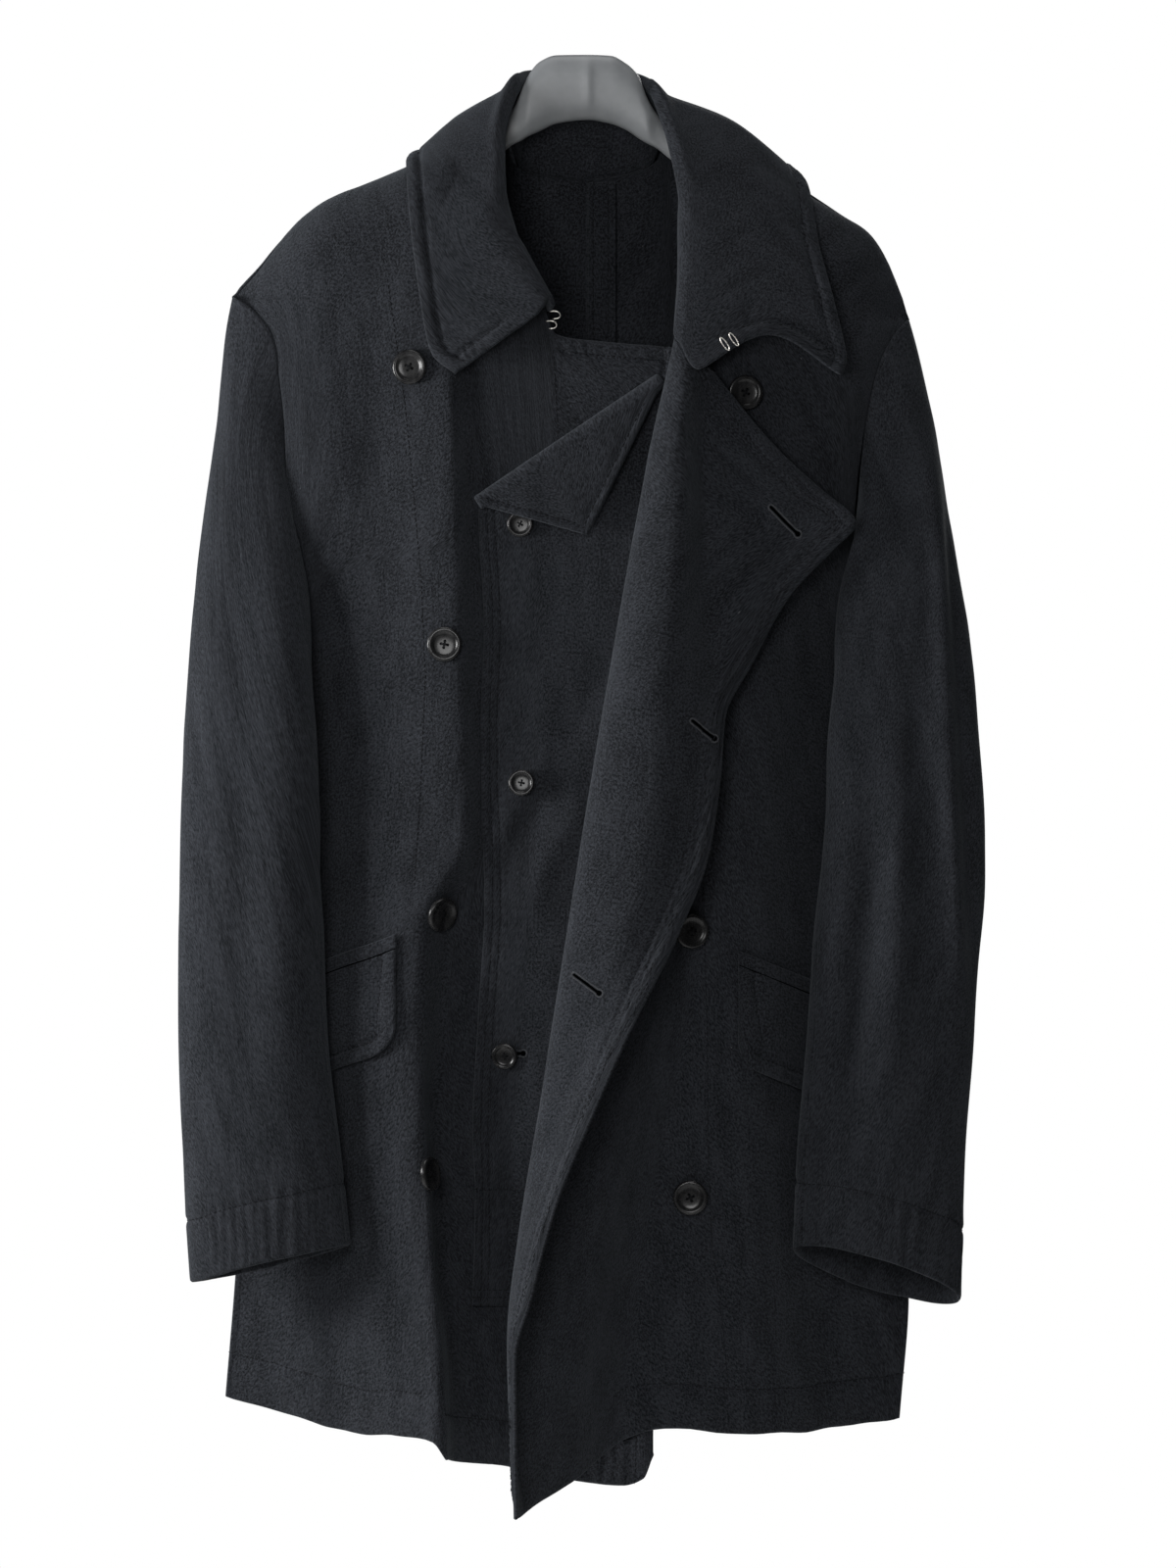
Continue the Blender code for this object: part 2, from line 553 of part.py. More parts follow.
def sleeve_ring(table, turn):
    """First ring of the sleeve's table, before it is fitted to the armhole."""
    outer = 0.5 * (1.0 + np.cos(turn))
    first = table.rows[0]
    value = dict(zip(table.columns, first))

    def mix(name):
        return value[name + "_in"] * (1 - outer) + value[name + "_out"] * outer

    return np.stack([mix("x"), mix("y") - value["depth"] * np.sin(turn), mix("z")], axis=-1)


def build_sleeve(name, side, table, finish, collection, mirrored):
    """Upper and under sleeve, with seams at the front and back of the arm."""
    rings = np.linspace(0.0, table.rows[-1, 0], SLEEVE_ROWS)
    upper = np.linspace(SLEEVE_BACK_SEAM + SLEEVE_SLIT, SLEEVE_FRONT_SEAM - SLEEVE_SLIT,
                        SLEEVE_UPPER_SIDES + 1)
    under = np.linspace(SLEEVE_FRONT_SEAM + SLEEVE_SLIT,
                        2 * math.pi + SLEEVE_BACK_SEAM - SLEEVE_SLIT, SLEEVE_UNDER_SIDES + 1)
    for part, turns in (("upper", upper), ("under", under)):
        grid = sleeve_point(side, table, rings[:, None], turns[None, :])
        cloth(f"sleeve_{name}_{part}", grid, WALL, finish, collection, turned=mirrored)


def neckline(body, station):
    """Point of the panels' neckline at a collar station."""
    mirrored = station > 0.5 * COLLAR.rows[-1, 0]
    if COLLAR_BACK_FIRST < station < COLLAR_BACK_LAST:
        panel = body["back_left" if mirrored else "back_right"]
        on_panel = (COLLAR.rows[:, 0] > COLLAR_BACK_FIRST) & (COLLAR.rows[:, 0] < COLLAR_BACK_LAST)
    elif mirrored:
        panel = body["left_front"]
        on_panel = COLLAR.rows[:, 0] > COLLAR_BACK_LAST
    else:
        panel = body["right_front"]
        on_panel = COLLAR.rows[:, 0] < COLLAR_BACK_FIRST
    rows = COLLAR.rows[on_panel]
    place = np.array([np.interp(station, rows[:, 0], rows[:, 1])])
    return panel.point(place, panel.top(place))[0]


def clear_of_body(body, points, distance):
    """Points moved out where they come closer to the fronts or backs than a distance."""
    x, y, z = np.moveaxis(points, -1, 0)
    below = z - distance
    moved = y.copy()
    for name, facing, last in (("right_front", FRONT, 5), ("left_front", FRONT, 4.5),
                               ("back_right", BACK, 3), ("back_left", BACK, 3)):
        panel = body[name]
        place = panel.place(x, below, 0, last)
        cover = np.clip((panel.top(place) - below) / COLLAR_FADE, 0.0, 1.0)
        limit = panel.point(place, below)[..., 1] + facing * distance
        short = np.maximum(facing * (limit - y), 0.0) * facing * np.sqrt(cover)
        mine = (facing * y >= 0.0) & ((x > 0.0) == (panel.side is LEFT)) & (cover > 0.0)
        moved = np.where(mine, y + short, moved)
    return np.stack([x, moved, z], axis=-1)


def build_collar(body, finish, collection):
    """Stand, roll and fall of the collar in one sheet."""
    stations = np.linspace(0.0, COLLAR.rows[-1, 0], COLLAR_STATIONS)
    up = np.array([0.0, 0.0, 1.0])

    def line(suffix):
        return np.stack([COLLAR.at(axis + suffix, stations) for axis in "xyz"], axis=-1)

    roll = line("r")
    edge = line("e")
    neck = np.stack([neckline(body, station) for station in stations])
    away = neck * np.array([1.0, 1.0, 0.0])
    away /= np.linalg.norm(away, axis=-1, keepdims=True)
    forward = np.clip(-neck[:, 1:2] / COLLAR_FRONT_DEPTH, 0.0, 1.0)
    inward = np.sign(-neck) * np.array([1.0, 0.0, 0.0]) * forward + up * (1.0 - COLLAR_LEAN * forward)
    seam = neck - away * WALL + inward * (COLLAR_SEAM_LIFT + COLLAR_FRONT_LIFT * forward)
    dip = up * COLLAR.at("dip", stations)[:, None]
    crest = roll + away * 0.5 * COLLAR_ROLL_WIDTH + up * COLLAR_CREST + dip * COLLAR_CREST_DIP
    outer = roll + away * COLLAR_ROLL_WIDTH - up * COLLAR_FALL_DROP
    outer += COLLAR_FALL_EASE * (edge - outer) + dip
    middle = 0.5 * (outer + edge) + up * COLLAR.at("rise", stations)[:, None]
    profile = [seam, roll - up * COLLAR_STAND_DROP, crest, outer, middle, edge]
    grid = np.stack([through(profile, np.full(len(stations), p)) for p in COLLAR_PLACES])
    fall = COLLAR_PLACES.index(3.0)
    grid[fall:] = clear_of_body(body, grid[fall:], COLLAR_CLEARANCE)
    cloth("collar", grid, DOUBLE_WALL, finish, collection, turned=True)


def flap_surface(body, x, z, layers):
    """Point in front of the right front's underlap, a number of flap layers out."""
    point = body["right_front"].at_x(x, z, 3.0, 6.0)
    return point - np.array([0.0, LAY_GAP + layers * DOUBLE_WALL, 0.0])


def build_inner_flap(body, finish, collection):
    """Button flap on the underlap: main part, fold and turned-down corner."""
    q = np.linspace(0.0, 1.0, FLAP_COLUMNS)
    fold_z = FLAP_FOLD_LOW + FLAP_FOLD_RISE * q
    left = INNER_FLAP.at("left", fold_z)
    fold_x = left + (INNER_FLAP.at("right", fold_z) - left) * q
    along = np.array([fold_x[-1] - fold_x[0], fold_z[-1] - fold_z[0]])
    along /= np.linalg.norm(along)
    down_x, down_z = along[1], -along[0]
    rise = np.where(q < FLAP_CORNER_AT, q / FLAP_CORNER_AT, (1.0 - q) / (1.0 - FLAP_CORNER_AT))
    length = np.maximum(FLAP_CORNER_LENGTH * rise, FLAP_CORNER_LEAST)
    rows = []
    for share in FLAP_CORNER_SHARES:
        x = fold_x + down_x * length * share
        z = fold_z + down_z * length * share
        rows.append(flap_surface(body, x, z, 1.0) - np.array([0.0, 2.0 * FLAP_FOLD_ROLL, 0.0]))
    front = flap_surface(body, fold_x, fold_z, 1.0)
    for turn in FLAP_FOLD_TURNS:
        angle = math.radians(turn)
        reach = FLAP_FOLD_ROLL * math.sin(angle)
        depth = FLAP_FOLD_ROLL * (1.0 - math.cos(angle))
        rows.append(front - np.array([down_x * reach, depth, down_z * reach]))
    for i in range(FLAP_ROWS + 1):
        z = fold_z + (FLAP_BOTTOM - fold_z) * i / FLAP_ROWS
        x = INNER_FLAP.at("left", z) * (1.0 - q) + INNER_FLAP.at("right", z) * q
        rows.append(flap_surface(body, x, z, 1.0))
    cloth("inner_flap", np.stack(rows), DOUBLE_WALL, finish, collection)


def build_pocket(body, name, row, finish, collection):
    """Slanted pocket flap and the welt above it, lying on a front."""
    panel = body[f"{name}_front"]
    out = row["side"]
    across = np.linspace(0.0, row["width"], POCKET_COLUMNS + 1)
    x = row["x"] + out * across
    top = row["z"] - row["slope"] * across
    inset = np.maximum(POCKET_CORNER - across, 0.0)
    lift = POCKET_CORNER - np.sqrt(np.maximum(POCKET_CORNER ** 2 - inset ** 2, 0.0))

    def lay(z, wall):
        return panel.laid(x, z, 0.0, 3.0, POCKET_GAP + wall)

    height = POCKET_FLAP_HEIGHT - lift
    flap = [lay(top - height * i / POCKET_ROWS, DOUBLE_WALL) for i in range(POCKET_ROWS + 1)]
    welt = [lay(top + SEAM_GAP * 2 + POCKET_WELT_HEIGHT * share, WALL) for share in (1.0, 0.0)]
    turned = out < 0
    cloth(f"pocket_flap_{name}", np.stack(flap), DOUBLE_WALL, finish, collection, turned)
    cloth(f"pocket_welt_{name}", np.stack(welt), WALL, finish, collection, turned)


def button_mesh(name, radius):
    """Turned button with a dished face, on the Z axis, its back at zero."""
    mesh = bpy.data.meshes.new(name)
    shape = bmesh.new()
    steps = BUTTON_PROFILE.rows
    verts = [shape.verts.new((r * radius * MM, 0.0, h * radius * MM)) for _, r, h in steps.tolist()]
    for first, second in zip(verts, verts[1:]):
        shape.edges.new((first, second))
    shape.to_mesh(mesh)
    shape.free()
    return mesh


def build_button(name, surface, x, z, radius, gap, finish, collection):
    """Button on a surface, tilted with it and just clear of it."""
    centre = surface(np.array(x), np.array(z))
    reach = radius * BUTTON_TILT_REACH
    right = surface(np.array(x + reach), np.array(z)) - surface(np.array(x - reach), np.array(z))
    below = surface(np.array(x), np.array(z - reach)) - surface(np.array(x), np.array(z + reach))
    normal = np.cross(below, right)
    normal /= np.linalg.norm(normal)
    turns = np.linspace(0.0, 2.0 * math.pi, BUTTON_RIM_TURNS, endpoint=False)
    height = 0.0
    for share in BUTTON_RIM_SHARES:
        rim = surface(x + radius * share * np.cos(turns), z + radius * share * np.sin(turns))
        height = max(height, float(((rim - centre) @ normal).max()))
    made = new_object(name, button_mesh(name, radius), finish, collection)
    made.location = Vector(centre + normal * (height + gap)) * MM
    made.rotation_euler = Vector(normal).to_track_quat("Z", "Y").to_euler()
    screw = made.modifiers.new("turned", "SCREW")
    screw.steps = BUTTON_SIDES
    screw.render_steps = BUTTON_SIDES
    screw.use_merge_vertices = True
    screw.merge_threshold = 0.00001
    return made


def build_buttons(body, finish, collection):
    """Two columns of large buttons on the fronts, small ones on the inner flap."""

    def on_right(x, z):
        return body["right_front"].at_x(x, z, 0.0, 5.0)

    def on_left(x, z):
        return body["left_front"].at_x(x, z, 0.0, 4.0)

    def on_flap(x, z):
        return flap_surface(body, x, z, 1.0)

    for label, table, surface, radius in (("right", RIGHT_BUTTONS, on_right, BIG_BUTTON_RADIUS),
                                          ("left", LEFT_BUTTONS, on_left, BIG_BUTTON_RADIUS),
                                          ("inner", INNER_BUTTONS, on_flap, SMALL_BUTTON_RADIUS)):
        for number, x, z, lift in table.rows.tolist():
            name = f"button_{label}_{int(number)}"
            build_button(name, surface, x, z, radius, BUTTON_GAP + lift, finish, collection)


def build_seam_band(body, finish, collection):
    """Felled allowance of the centre back seam, lying on the inside of the left back."""
    panel = body["back_left"]
    x = np.array([BAND_FIRST, 0.5 * BAND_WIDTH, BAND_WIDTH])
    top = BACK_TOPS_LEFT.rows[-1, 1] - BAND_TOP_INSET
    hem = BACK_HEMS_LEFT.rows[-1, 1] + BAND_HEM_INSET
    out = np.array([0.0, WALL + LAY_GAP + BAND_WALL, 0.0])
    heights = np.linspace(top, hem, BAND_ROWS + 1)
    grid = np.stack([panel.at_x(x, np.full_like(x, z), 2.0, 3.0) - out for z in heights])
    cloth("back_seam_band", grid, BAND_WALL, finish, collection)


def wire(name, points, finish, collection):
    """Bent wire through points in millimetres."""
    curve = bpy.data.curves.new(name, "CURVE")
    curve.dimensions = "3D"
    curve.bevel_depth = HOOK_WIRE * MM
    curve.bevel_resolution = 1
    curve.use_fill_caps = True
    spline = curve.splines.new("POLY")
    spline.points.add(len(points) - 1)
    for target, point in zip(spline.points, points):
        target.co = (*(Vector(point) * MM), 1.0)
    curve.materials.append(finish)
    made = bpy.data.objects.new(name, curve)
    collection.objects.link(made)
    return made


def build_hooks(body, finish, collection):
    """Wire hooks at the right front's corner and eyes on the left end of the collar."""
    for number, x, z in HOOKS.rows.tolist():
        base = body["right_front"].at_x(np.array(x), np.array(z), 3.0, 6.0)
        bend = [base + np.array([along, -HOOK_LIFT, up]) for _, along, up in HOOK_BEND.rows]
        wire(f"collar_hook_{int(number)}", bend, finish, collection)
    turns = np.linspace(0.25 * math.pi, 1.75 * math.pi, EYE_TURNS)
    along, across = EYE_SIZES[0] * np.cos(turns), EYE_SIZES[1] * np.sin(turns)
    x = -along * math.cos(EYE_SLANT) - across * math.sin(EYE_SLANT)
    z = -along * math.sin(EYE_SLANT) + across * math.cos(EYE_SLANT)
    for number, *spot in EYES.rows.tolist():
        loop = np.array(spot) + np.stack([x, 0.0 * turns, z], axis=-1)
        wire(f"collar_eye_{int(number)}", loop, finish, collection)


def build_hanger(finish, collection):
    """Thick hanger: rounded sections along the shoulders."""
    xs = np.linspace(HANGER.rows[0, 0], HANGER.rows[-1, 0], HANGER_SECTIONS)
    turns = np.linspace(0.0, 2 * math.pi, HANGER_SIDES, endpoint=False)
    top = HANGER.at("top", xs)[:, None]
    bottom = HANGER.at("bottom", xs)[:, None]
    depth = HANGER.at("depth", xs)[:, None]
    z = 0.5 * (top + bottom) + 0.5 * (top - bottom) * np.cos(turns)
    y = depth * np.sin(turns)
    x = np.broadcast_to(xs[:, None], z.shape)
    mesh = grid_mesh("hanger", np.stack([x, y, z], axis=-1), closed=True, capped=True)
    new_object("hanger", mesh, finish, collection)


def main():
    """Clear the scene and build the coat."""
    for old in list(bpy.data.objects):
        bpy.data.objects.remove(old)
    collection = bpy.data.collections.new(COAT_NAME)
    bpy.context.scene.collection.children.link(collection)
    wool = material("charcoal_wool", (0.022, 0.022, 0.024), 0.95)
    grey = material("grey_hanger", (0.16, 0.17, 0.18), 0.45)
    horn = material("dark_horn", (0.03, 0.027, 0.025), 0.35)
    metal = material("nickel_wire", (0.62, 0.62, 0.6), 0.3, 1.0)
    body = panels()
    build_body(body, wool, collection)
    build_sleeve("right", RIGHT, SLEEVE_RIGHT, wool, collection, mirrored=False)
    build_sleeve("left", LEFT, SLEEVE_LEFT, wool, collection, mirrored=True)
    build_collar(body, wool, collection)
    build_hanger(grey, collection)
    build_inner_flap(body, wool, collection)
    for name, row in zip(("right", "left"), POCKETS.rows.tolist()):
        build_pocket(body, name, dict(zip(POCKETS.columns, row)), wool, collection)
    build_buttons(body, horn, collection)
    build_seam_band(body, wool, collection)
    build_hooks(body, metal, collection)


main()
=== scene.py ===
"""Looks of a double-breasted military coat in napped wool, hanging open on a thick hanger.

Sizes are in millimetres and become metres when a mesh is made. The origin is the middle of
the hanger's top, +Z is up and the front of the coat faces -Y. Right and left are the wearer's.
"""
import logging
import math
from dataclasses import dataclass, field, replace
from enum import Enum
from functools import partial
from typing import Callable, Sequence

import bmesh
import bpy
import numpy as np
from mathutils import Matrix, Vector


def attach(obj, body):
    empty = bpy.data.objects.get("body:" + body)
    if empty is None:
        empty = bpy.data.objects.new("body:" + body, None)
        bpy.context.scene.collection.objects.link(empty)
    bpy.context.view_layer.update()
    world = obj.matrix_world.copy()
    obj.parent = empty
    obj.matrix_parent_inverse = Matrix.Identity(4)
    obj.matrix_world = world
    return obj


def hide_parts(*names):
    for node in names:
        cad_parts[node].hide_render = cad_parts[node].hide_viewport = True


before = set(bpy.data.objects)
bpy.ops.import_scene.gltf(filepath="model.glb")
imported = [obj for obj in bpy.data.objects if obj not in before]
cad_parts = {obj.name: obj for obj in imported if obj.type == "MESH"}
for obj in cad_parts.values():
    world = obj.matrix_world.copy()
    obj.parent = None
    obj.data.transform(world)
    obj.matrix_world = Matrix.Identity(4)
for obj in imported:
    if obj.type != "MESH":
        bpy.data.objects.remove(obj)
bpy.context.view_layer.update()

MM = 0.001
BODY = "root"
LOG = logging.getLogger("coat")

Array = np.ndarray
Material = bpy.types.Material
Mesh = bpy.types.Mesh
Node = bpy.types.Node
Object = bpy.types.Object
Socket = bpy.types.NodeSocket
Pair = tuple[float, float]
Triple = tuple[float, float, float]
Path2 = Sequence[Pair]
Faces = list[list[int]]
NodeValues = dict[str | int, object]

# Driving sizes of the cloth
WALL = 2.0
DOUBLE_WALL = 2.6
LAY_GAP = 0.8
SHOULDER_ROUND = 34.0
SIDE_DEPTH = 12.0
ARMHOLE_DEPTH = 30.0
ARMHOLE_FULLNESS = 2.5
TOP_REACH = 46.0
TOP_ROWS = 22
TOP_EASE = 1.7
HEM_REACH = 42.0
HEM_ROWS = 22
EDGE_SHARE = 0.16
EDGE_COLUMNS = 12
SHOULDER_GUESS = -100.0
SHOULDER_TURNS = 30
PLACE_TURNS = 24
LEAST_LEAN = 0.4
WIRE_SIDES = 10
WIRE_GUIDE = (0.31, 0.77, 0.56)
TINY = 1e-6
WHITE = (1.0, 1.0, 1.0, 1.0)


class Facing(Enum):
    """Which way a panel looks."""

    FRONT = -1
    BACK = 1


class Edge(Enum):
    """An edge of a cloth piece, seen from its outer face."""

    TOP = "top"
    BOTTOM = "bottom"
    LEFT = "left"
    RIGHT = "right"

    @property
    def runs_across(self) -> bool:
        """Whether the edge runs across the cloth, as its top and bottom do."""
        return self in (Edge.TOP, Edge.BOTTOM)


class SizeTable:
    """Rows of named sizes, read smoothly between rows along the first column."""

    def __init__(self, columns: str, *rows: tuple[float, ...]) -> None:
        """Keep the rows of sizes in the order of their first column, with the columns' names."""
        self.columns = columns.split()
        self.rows = np.array(sorted(rows), dtype=float)

    def at(self, column: str, where: Array | float) -> Array:
        """Values of a named column where the first column has the given values."""
        values = self.rows[:, self.columns.index(column)]
        return monotone(self.rows[:, 0], values, np.asarray(where, dtype=float))


def hermite(start: Array, end: Array, start_tangent: Array, end_tangent: Array, t: Array) -> Array:
    """Cubic between two values.

    Args:
        start: value at the start.
        end: value at the end.
        start_tangent: slope at the start.
        end_tangent: slope at the end.
        t: place from 0 to 1.

    Returns:
        The value at each place.
    """
    t2 = t * t
    t3 = t2 * t
    return ((2 * t3 - 3 * t2 + 1) * start + (t3 - 2 * t2 + t) * start_tangent
            + (3 * t2 - 2 * t3) * end + (t3 - t2) * end_tangent)


def monotone(keys: Array, values: Array, where: Array) -> Array:
    """Cubic curve through values that never passes above or below them.

    Args:
        keys: rising places of the values.
        values: the values.
        where: places to read.

    Returns:
        The curve's value at each place.
    """
    step = np.diff(keys)
    rise = np.diff(values) / step
    slope = np.zeros(len(keys))
    slope[0] = rise[0]
    slope[-1] = rise[-1]
    for i in range(1, len(keys) - 1):
        if rise[i - 1] * rise[i] > 0.0:
            near = 2.0 * step[i] + step[i - 1]
            far = step[i] + 2.0 * step[i - 1]
            slope[i] = (near + far) / (near / rise[i - 1] + far / rise[i])
    where = np.clip(where, keys[0], keys[-1])
    k = np.clip(np.searchsorted(keys, where, side="right") - 1, 0, len(step) - 1)
    t = (where - keys[k]) / step[k]
    return hermite(values[k], values[k + 1], slope[k] * step[k], slope[k + 1] * step[k], t)


def length_of(vectors: Array) -> Array:
    """Lengths of vectors, never zero, with the last axis kept."""
    return np.maximum(np.linalg.norm(vectors, axis=-1, keepdims=True), TINY)


def through(stations: Sequence[Array], s: Array) -> Array:
    """Smooth curve through a row of points.

    Args:
        stations: the points, each an array with coordinates on its last axis.
        s: place along the curve, counted in points.

    Returns:
        The points at those places.
    """
    count = len(stations)
    chords = [stations[k + 1] - stations[k] for k in range(count - 1)]
    lengths = [length_of(chord) for chord in chords]
    tangents = [chords[0]]
    for k in range(1, count - 1):
        direction = chords[k - 1] / lengths[k - 1] + chords[k] / lengths[k]
        tangents.append(direction / length_of(direction) * np.minimum(lengths[k - 1], lengths[k]))
    tangents.append(chords[-1])
    out = np.zeros_like(stations[0])
    for k in range(count - 1):
        t = np.clip(s - k, 0.0, 1.0)[..., None]
        piece = hermite(stations[k], stations[k + 1], tangents[k], tangents[k + 1], t)
        inside = (s >= k) if k == count - 2 else (s >= k) & (s < k + 1)
        out = np.where(inside[..., None], piece, out)
    return out


def quarter_round(t: Array) -> Array:
    """Height of a quarter circle: 0 with an upright start, 1 and level at the end."""
    t = np.clip(t, 0.0, 1.0)
    return np.sqrt(np.maximum(1.0 - (1.0 - t) ** 2, 0.0))


def soft_step(t: Array) -> Array:
    """Smooth rise from 0 to 1 while t goes from 0 to 1."""
    t = np.clip(t, 0.0, 1.0)
    return t * t * (3.0 - 2.0 * t)


def opening(share: Array) -> Array:
    """How far an armhole opens at a share of its height, with a round bottom and top."""
    return (1.0 - np.abs(2.0 * share - 1.0) ** ARMHOLE_FULLNESS) ** (1.0 / ARMHOLE_FULLNESS)


@dataclass(frozen=True)
class Side:
    """One side of the body: shoulder line, armhole and side seam."""

    shoulder: SizeTable
    armhole: SizeTable
    seam: SizeTable

    @property
    def underarm(self) -> float:
        """Height of the armhole's lowest point."""
        return self.armhole.rows[0, 0]

    @property
    def top(self) -> float:
        """Height of the armhole's highest point."""
        return self.armhole.rows[-1, 0]

    def edge_x(self, z: Array) -> Array:
        """Place of the panels' outer edge at a height."""
        return np.where(z > self.underarm, self.armhole.at("x", z), self.seam.at("x", z))

    def edge_y(self, z: Array, spread: float) -> Array:
        """Depth of that edge: the armhole opens by the spread, the side seam doesn't."""
        turn = np.clip((z - self.underarm) / (self.top - self.underarm), 0.0, 1.0)
        return SIDE_DEPTH * (1.0 - turn) + spread * opening(turn)

    def armhole_loop(self, turn: Array, away: float, tuck: float) -> Array:
        """Armhole at a turn from its top round the front.

        Args:
            turn: angle from the armhole's top.
            away: how far the loop lies outside the panels' edge.
            tuck: how far it lies behind the panels' outer face.

        Returns:
            Points of the loop.
        """
        share = 0.5 * (1.0 + np.cos(turn))
        z = self.underarm + (self.top - self.underarm) * share
        outward = np.sign(self.armhole.rows[0, 1]) * away
        reach = (ARMHOLE_DEPTH - tuck) * opening(share) * np.sign(np.sin(turn))
        y = SIDE_DEPTH * (1.0 - share) - reach
        return np.stack([self.armhole.at("x", z) + outward, y, z - away * (1.0 - share)], axis=-1)


@dataclass
class Panel:
    """A body panel drawn through named lines that run from its top to its hem."""

    name: str
    side: Side
    facing: Facing
    lines: tuple[SizeTable, ...]
    tops: SizeTable
    hems: SizeTable
    spans: tuple[int, ...]
    rows: int
    turned: bool

    def columns(self) -> Array:
        """Places across the panel, counted in lines, closer together at its last edge.

        Returns:
            One place for each column.
        """
        last = len(self.spans) - 1
        places = [k + i / count for k, count in enumerate(self.spans[:-1]) for i in range(count)]
        wide = last + np.linspace(0.0, 1.0 - EDGE_SHARE, self.spans[-1], endpoint=False)
        near = last + np.linspace(1.0 - EDGE_SHARE, 1.0, EDGE_COLUMNS + 1)
        return np.concatenate([places, wide, near])

    def point(self, s: Array, z: Array) -> Array:
        """Point of the outer face.

        Args:
            s: place across, counted in lines.
            z: height.

        Returns:
            Points with x, y and z on the last axis.
        """
        s, z = np.broadcast_arrays(np.asarray(s, float), np.asarray(z, float))
        spread = self.facing.value * ARMHOLE_DEPTH
        stations = [np.stack([self.side.edge_x(z), self.side.edge_y(z, spread)], axis=-1)]
        for line in self.lines:
            stations.append(np.stack([line.at("x", z), line.at("y", z)], axis=-1))
        section = through(stations, s)
        x = section[..., 0]
        crown = quarter_round((self.side.shoulder.at("z", x) - z) / SHOULDER_ROUND)
        return np.stack([x, section[..., 1] * crown, z], axis=-1)

    def top(self, s: Array) -> Array:
        """Height of the panel's top edge: shoulder seam, then neckline and front.

        Args:
            s: places across the panel, counted in lines.

        Returns:
            One height for each place.
        """
        z = np.full_like(s, SHOULDER_GUESS)
        for _ in range(SHOULDER_TURNS):
            z = 0.5 * z + 0.5 * self.side.shoulder.at("z", self.point(s, z)[..., 0])
        return np.where(s < self.tops.rows[0, 0], z, self.tops.at("z", s))

    def heights(self) -> Array:
        """Heights of the grid's points, closer together at the rounded top and the hem.

        Returns:
            One height for each point of the grid.
        """
        s = self.columns()
        top = self.top(s)
        hem = self.hems.at("z", s)
        start, knee = top - TOP_REACH, hem + HEM_REACH
        upper = [top - TOP_REACH * (i / TOP_ROWS) ** TOP_EASE for i in range(TOP_ROWS)]
        middle = [start + (knee - start) * i / self.rows for i in range(self.rows)]
        lower = [knee - HEM_REACH * i / HEM_ROWS for i in range(HEM_ROWS + 1)]
        return np.stack(upper + middle + lower)

    def grid(self) -> Array:
        """Points of the outer face: rows down, columns to the right seen from outside.

        Returns:
            The grid of points.
        """
        z = self.heights()
        points = self.point(self.columns()[None, :], z)
        return points[:, ::-1] if self.turned else points

    def place(self, x: Array, z: Array, first: float, last: float) -> Array:
        """Place across the panel of points in the front view.

        Args:
            x: sideways places.
            z: heights.
            first: line to search from.
            last: line to search to.

        Returns:
            Places counted in lines.
        """
        x, z = np.broadcast_arrays(np.asarray(x, float), np.asarray(z, float))
        low = np.full(x.shape, float(first))
        high = np.full(x.shape, float(last))
        rising = self.point(high, z)[..., 0] > self.point(low, z)[..., 0]
        for _ in range(PLACE_TURNS):
            middle = 0.5 * (low + high)
            before = (self.point(middle, z)[..., 0] < x) == rising
            low = np.where(before, middle, low)
            high = np.where(before, high, middle)
        return 0.5 * (low + high)

    def at_x(self, x: Array, z: Array, first: float, last: float) -> Array:
        """Point of the outer face at a place in the front view, between two lines."""
        return self.point(self.place(x, z, first, last), z)

    def cells(self, x: Array, z: Array, first: float, last: float) -> tuple[Array, Array]:
        """Rows and columns of the grid under points of the front view.

        Args:
            x: sideways places.
            z: heights.
            first: line to search from.
            last: line to search to.

        Returns:
            Fractional rows and columns of the grid.
        """
        x, z = np.broadcast_arrays(np.asarray(x, float), np.asarray(z, float))
        columns = np.interp(self.place(x, z, first, last), self.columns(), np.arange(len(self.columns())))
        heights = self.heights()
        whole = np.clip(columns.astype(int), 0, heights.shape[1] - 2)
        part = columns - whole
        rows = np.zeros(x.shape)
        for index in np.ndindex(x.shape):
            k, f = whole[index], part[index]
            line = heights[:, k] * (1.0 - f) + heights[:, k + 1] * f
            rows[index] = np.interp(-z[index], -line, np.arange(len(line)))
        return rows, heights.shape[1] - 1 - columns if self.turned else columns


def spaced(points: Array, step: float) -> Array:
    """Points at even distances along a path.

    Args:
        points: the path's own points.
        step: distance between the new points.

    Returns:
        The new points, with both ends kept.
    """
    gone = np.concatenate([[0.0], np.cumsum(length_of(np.diff(points, axis=0))[:, 0])])
    count = max(int(round(gone[-1] / step)), 1)
    where = np.linspace(0.0, gone[-1], count + 1)
    return np.stack([np.interp(where, gone, axis) for axis in points.T], axis=-1)


# Shoulder lines, from the sleeve in to the middle of the hanger
SHOULDER_RIGHT = SizeTable(
    "x z", (-237, -162), (-220, -144), (-200, -118), (-175, -97), (-150, -87), (-117, -72.5), (-72, -47),
    (-58, -39), (0, -10))
SHOULDER_LEFT = SizeTable(
    "x z", (214, -177), (206, -155), (198, -135), (187, -119), (167, -105.5), (130, -82), (107, -68),
    (72, -52), (54, -43), (0, -12))

# Armholes: where the front and back panels end
ARMHOLE_RIGHT = SizeTable(
    "z x", (-162, -236), (-172, -222), (-190, -209), (-215, -205), (-252, -200), (-305, -197), (-350, -197),
    (-386, -203))
ARMHOLE_LEFT = SizeTable(
    "z x", (-177, 213), (-190, 202), (-215, 191), (-260, 182), (-310, 177), (-355, 176), (-390, 181))

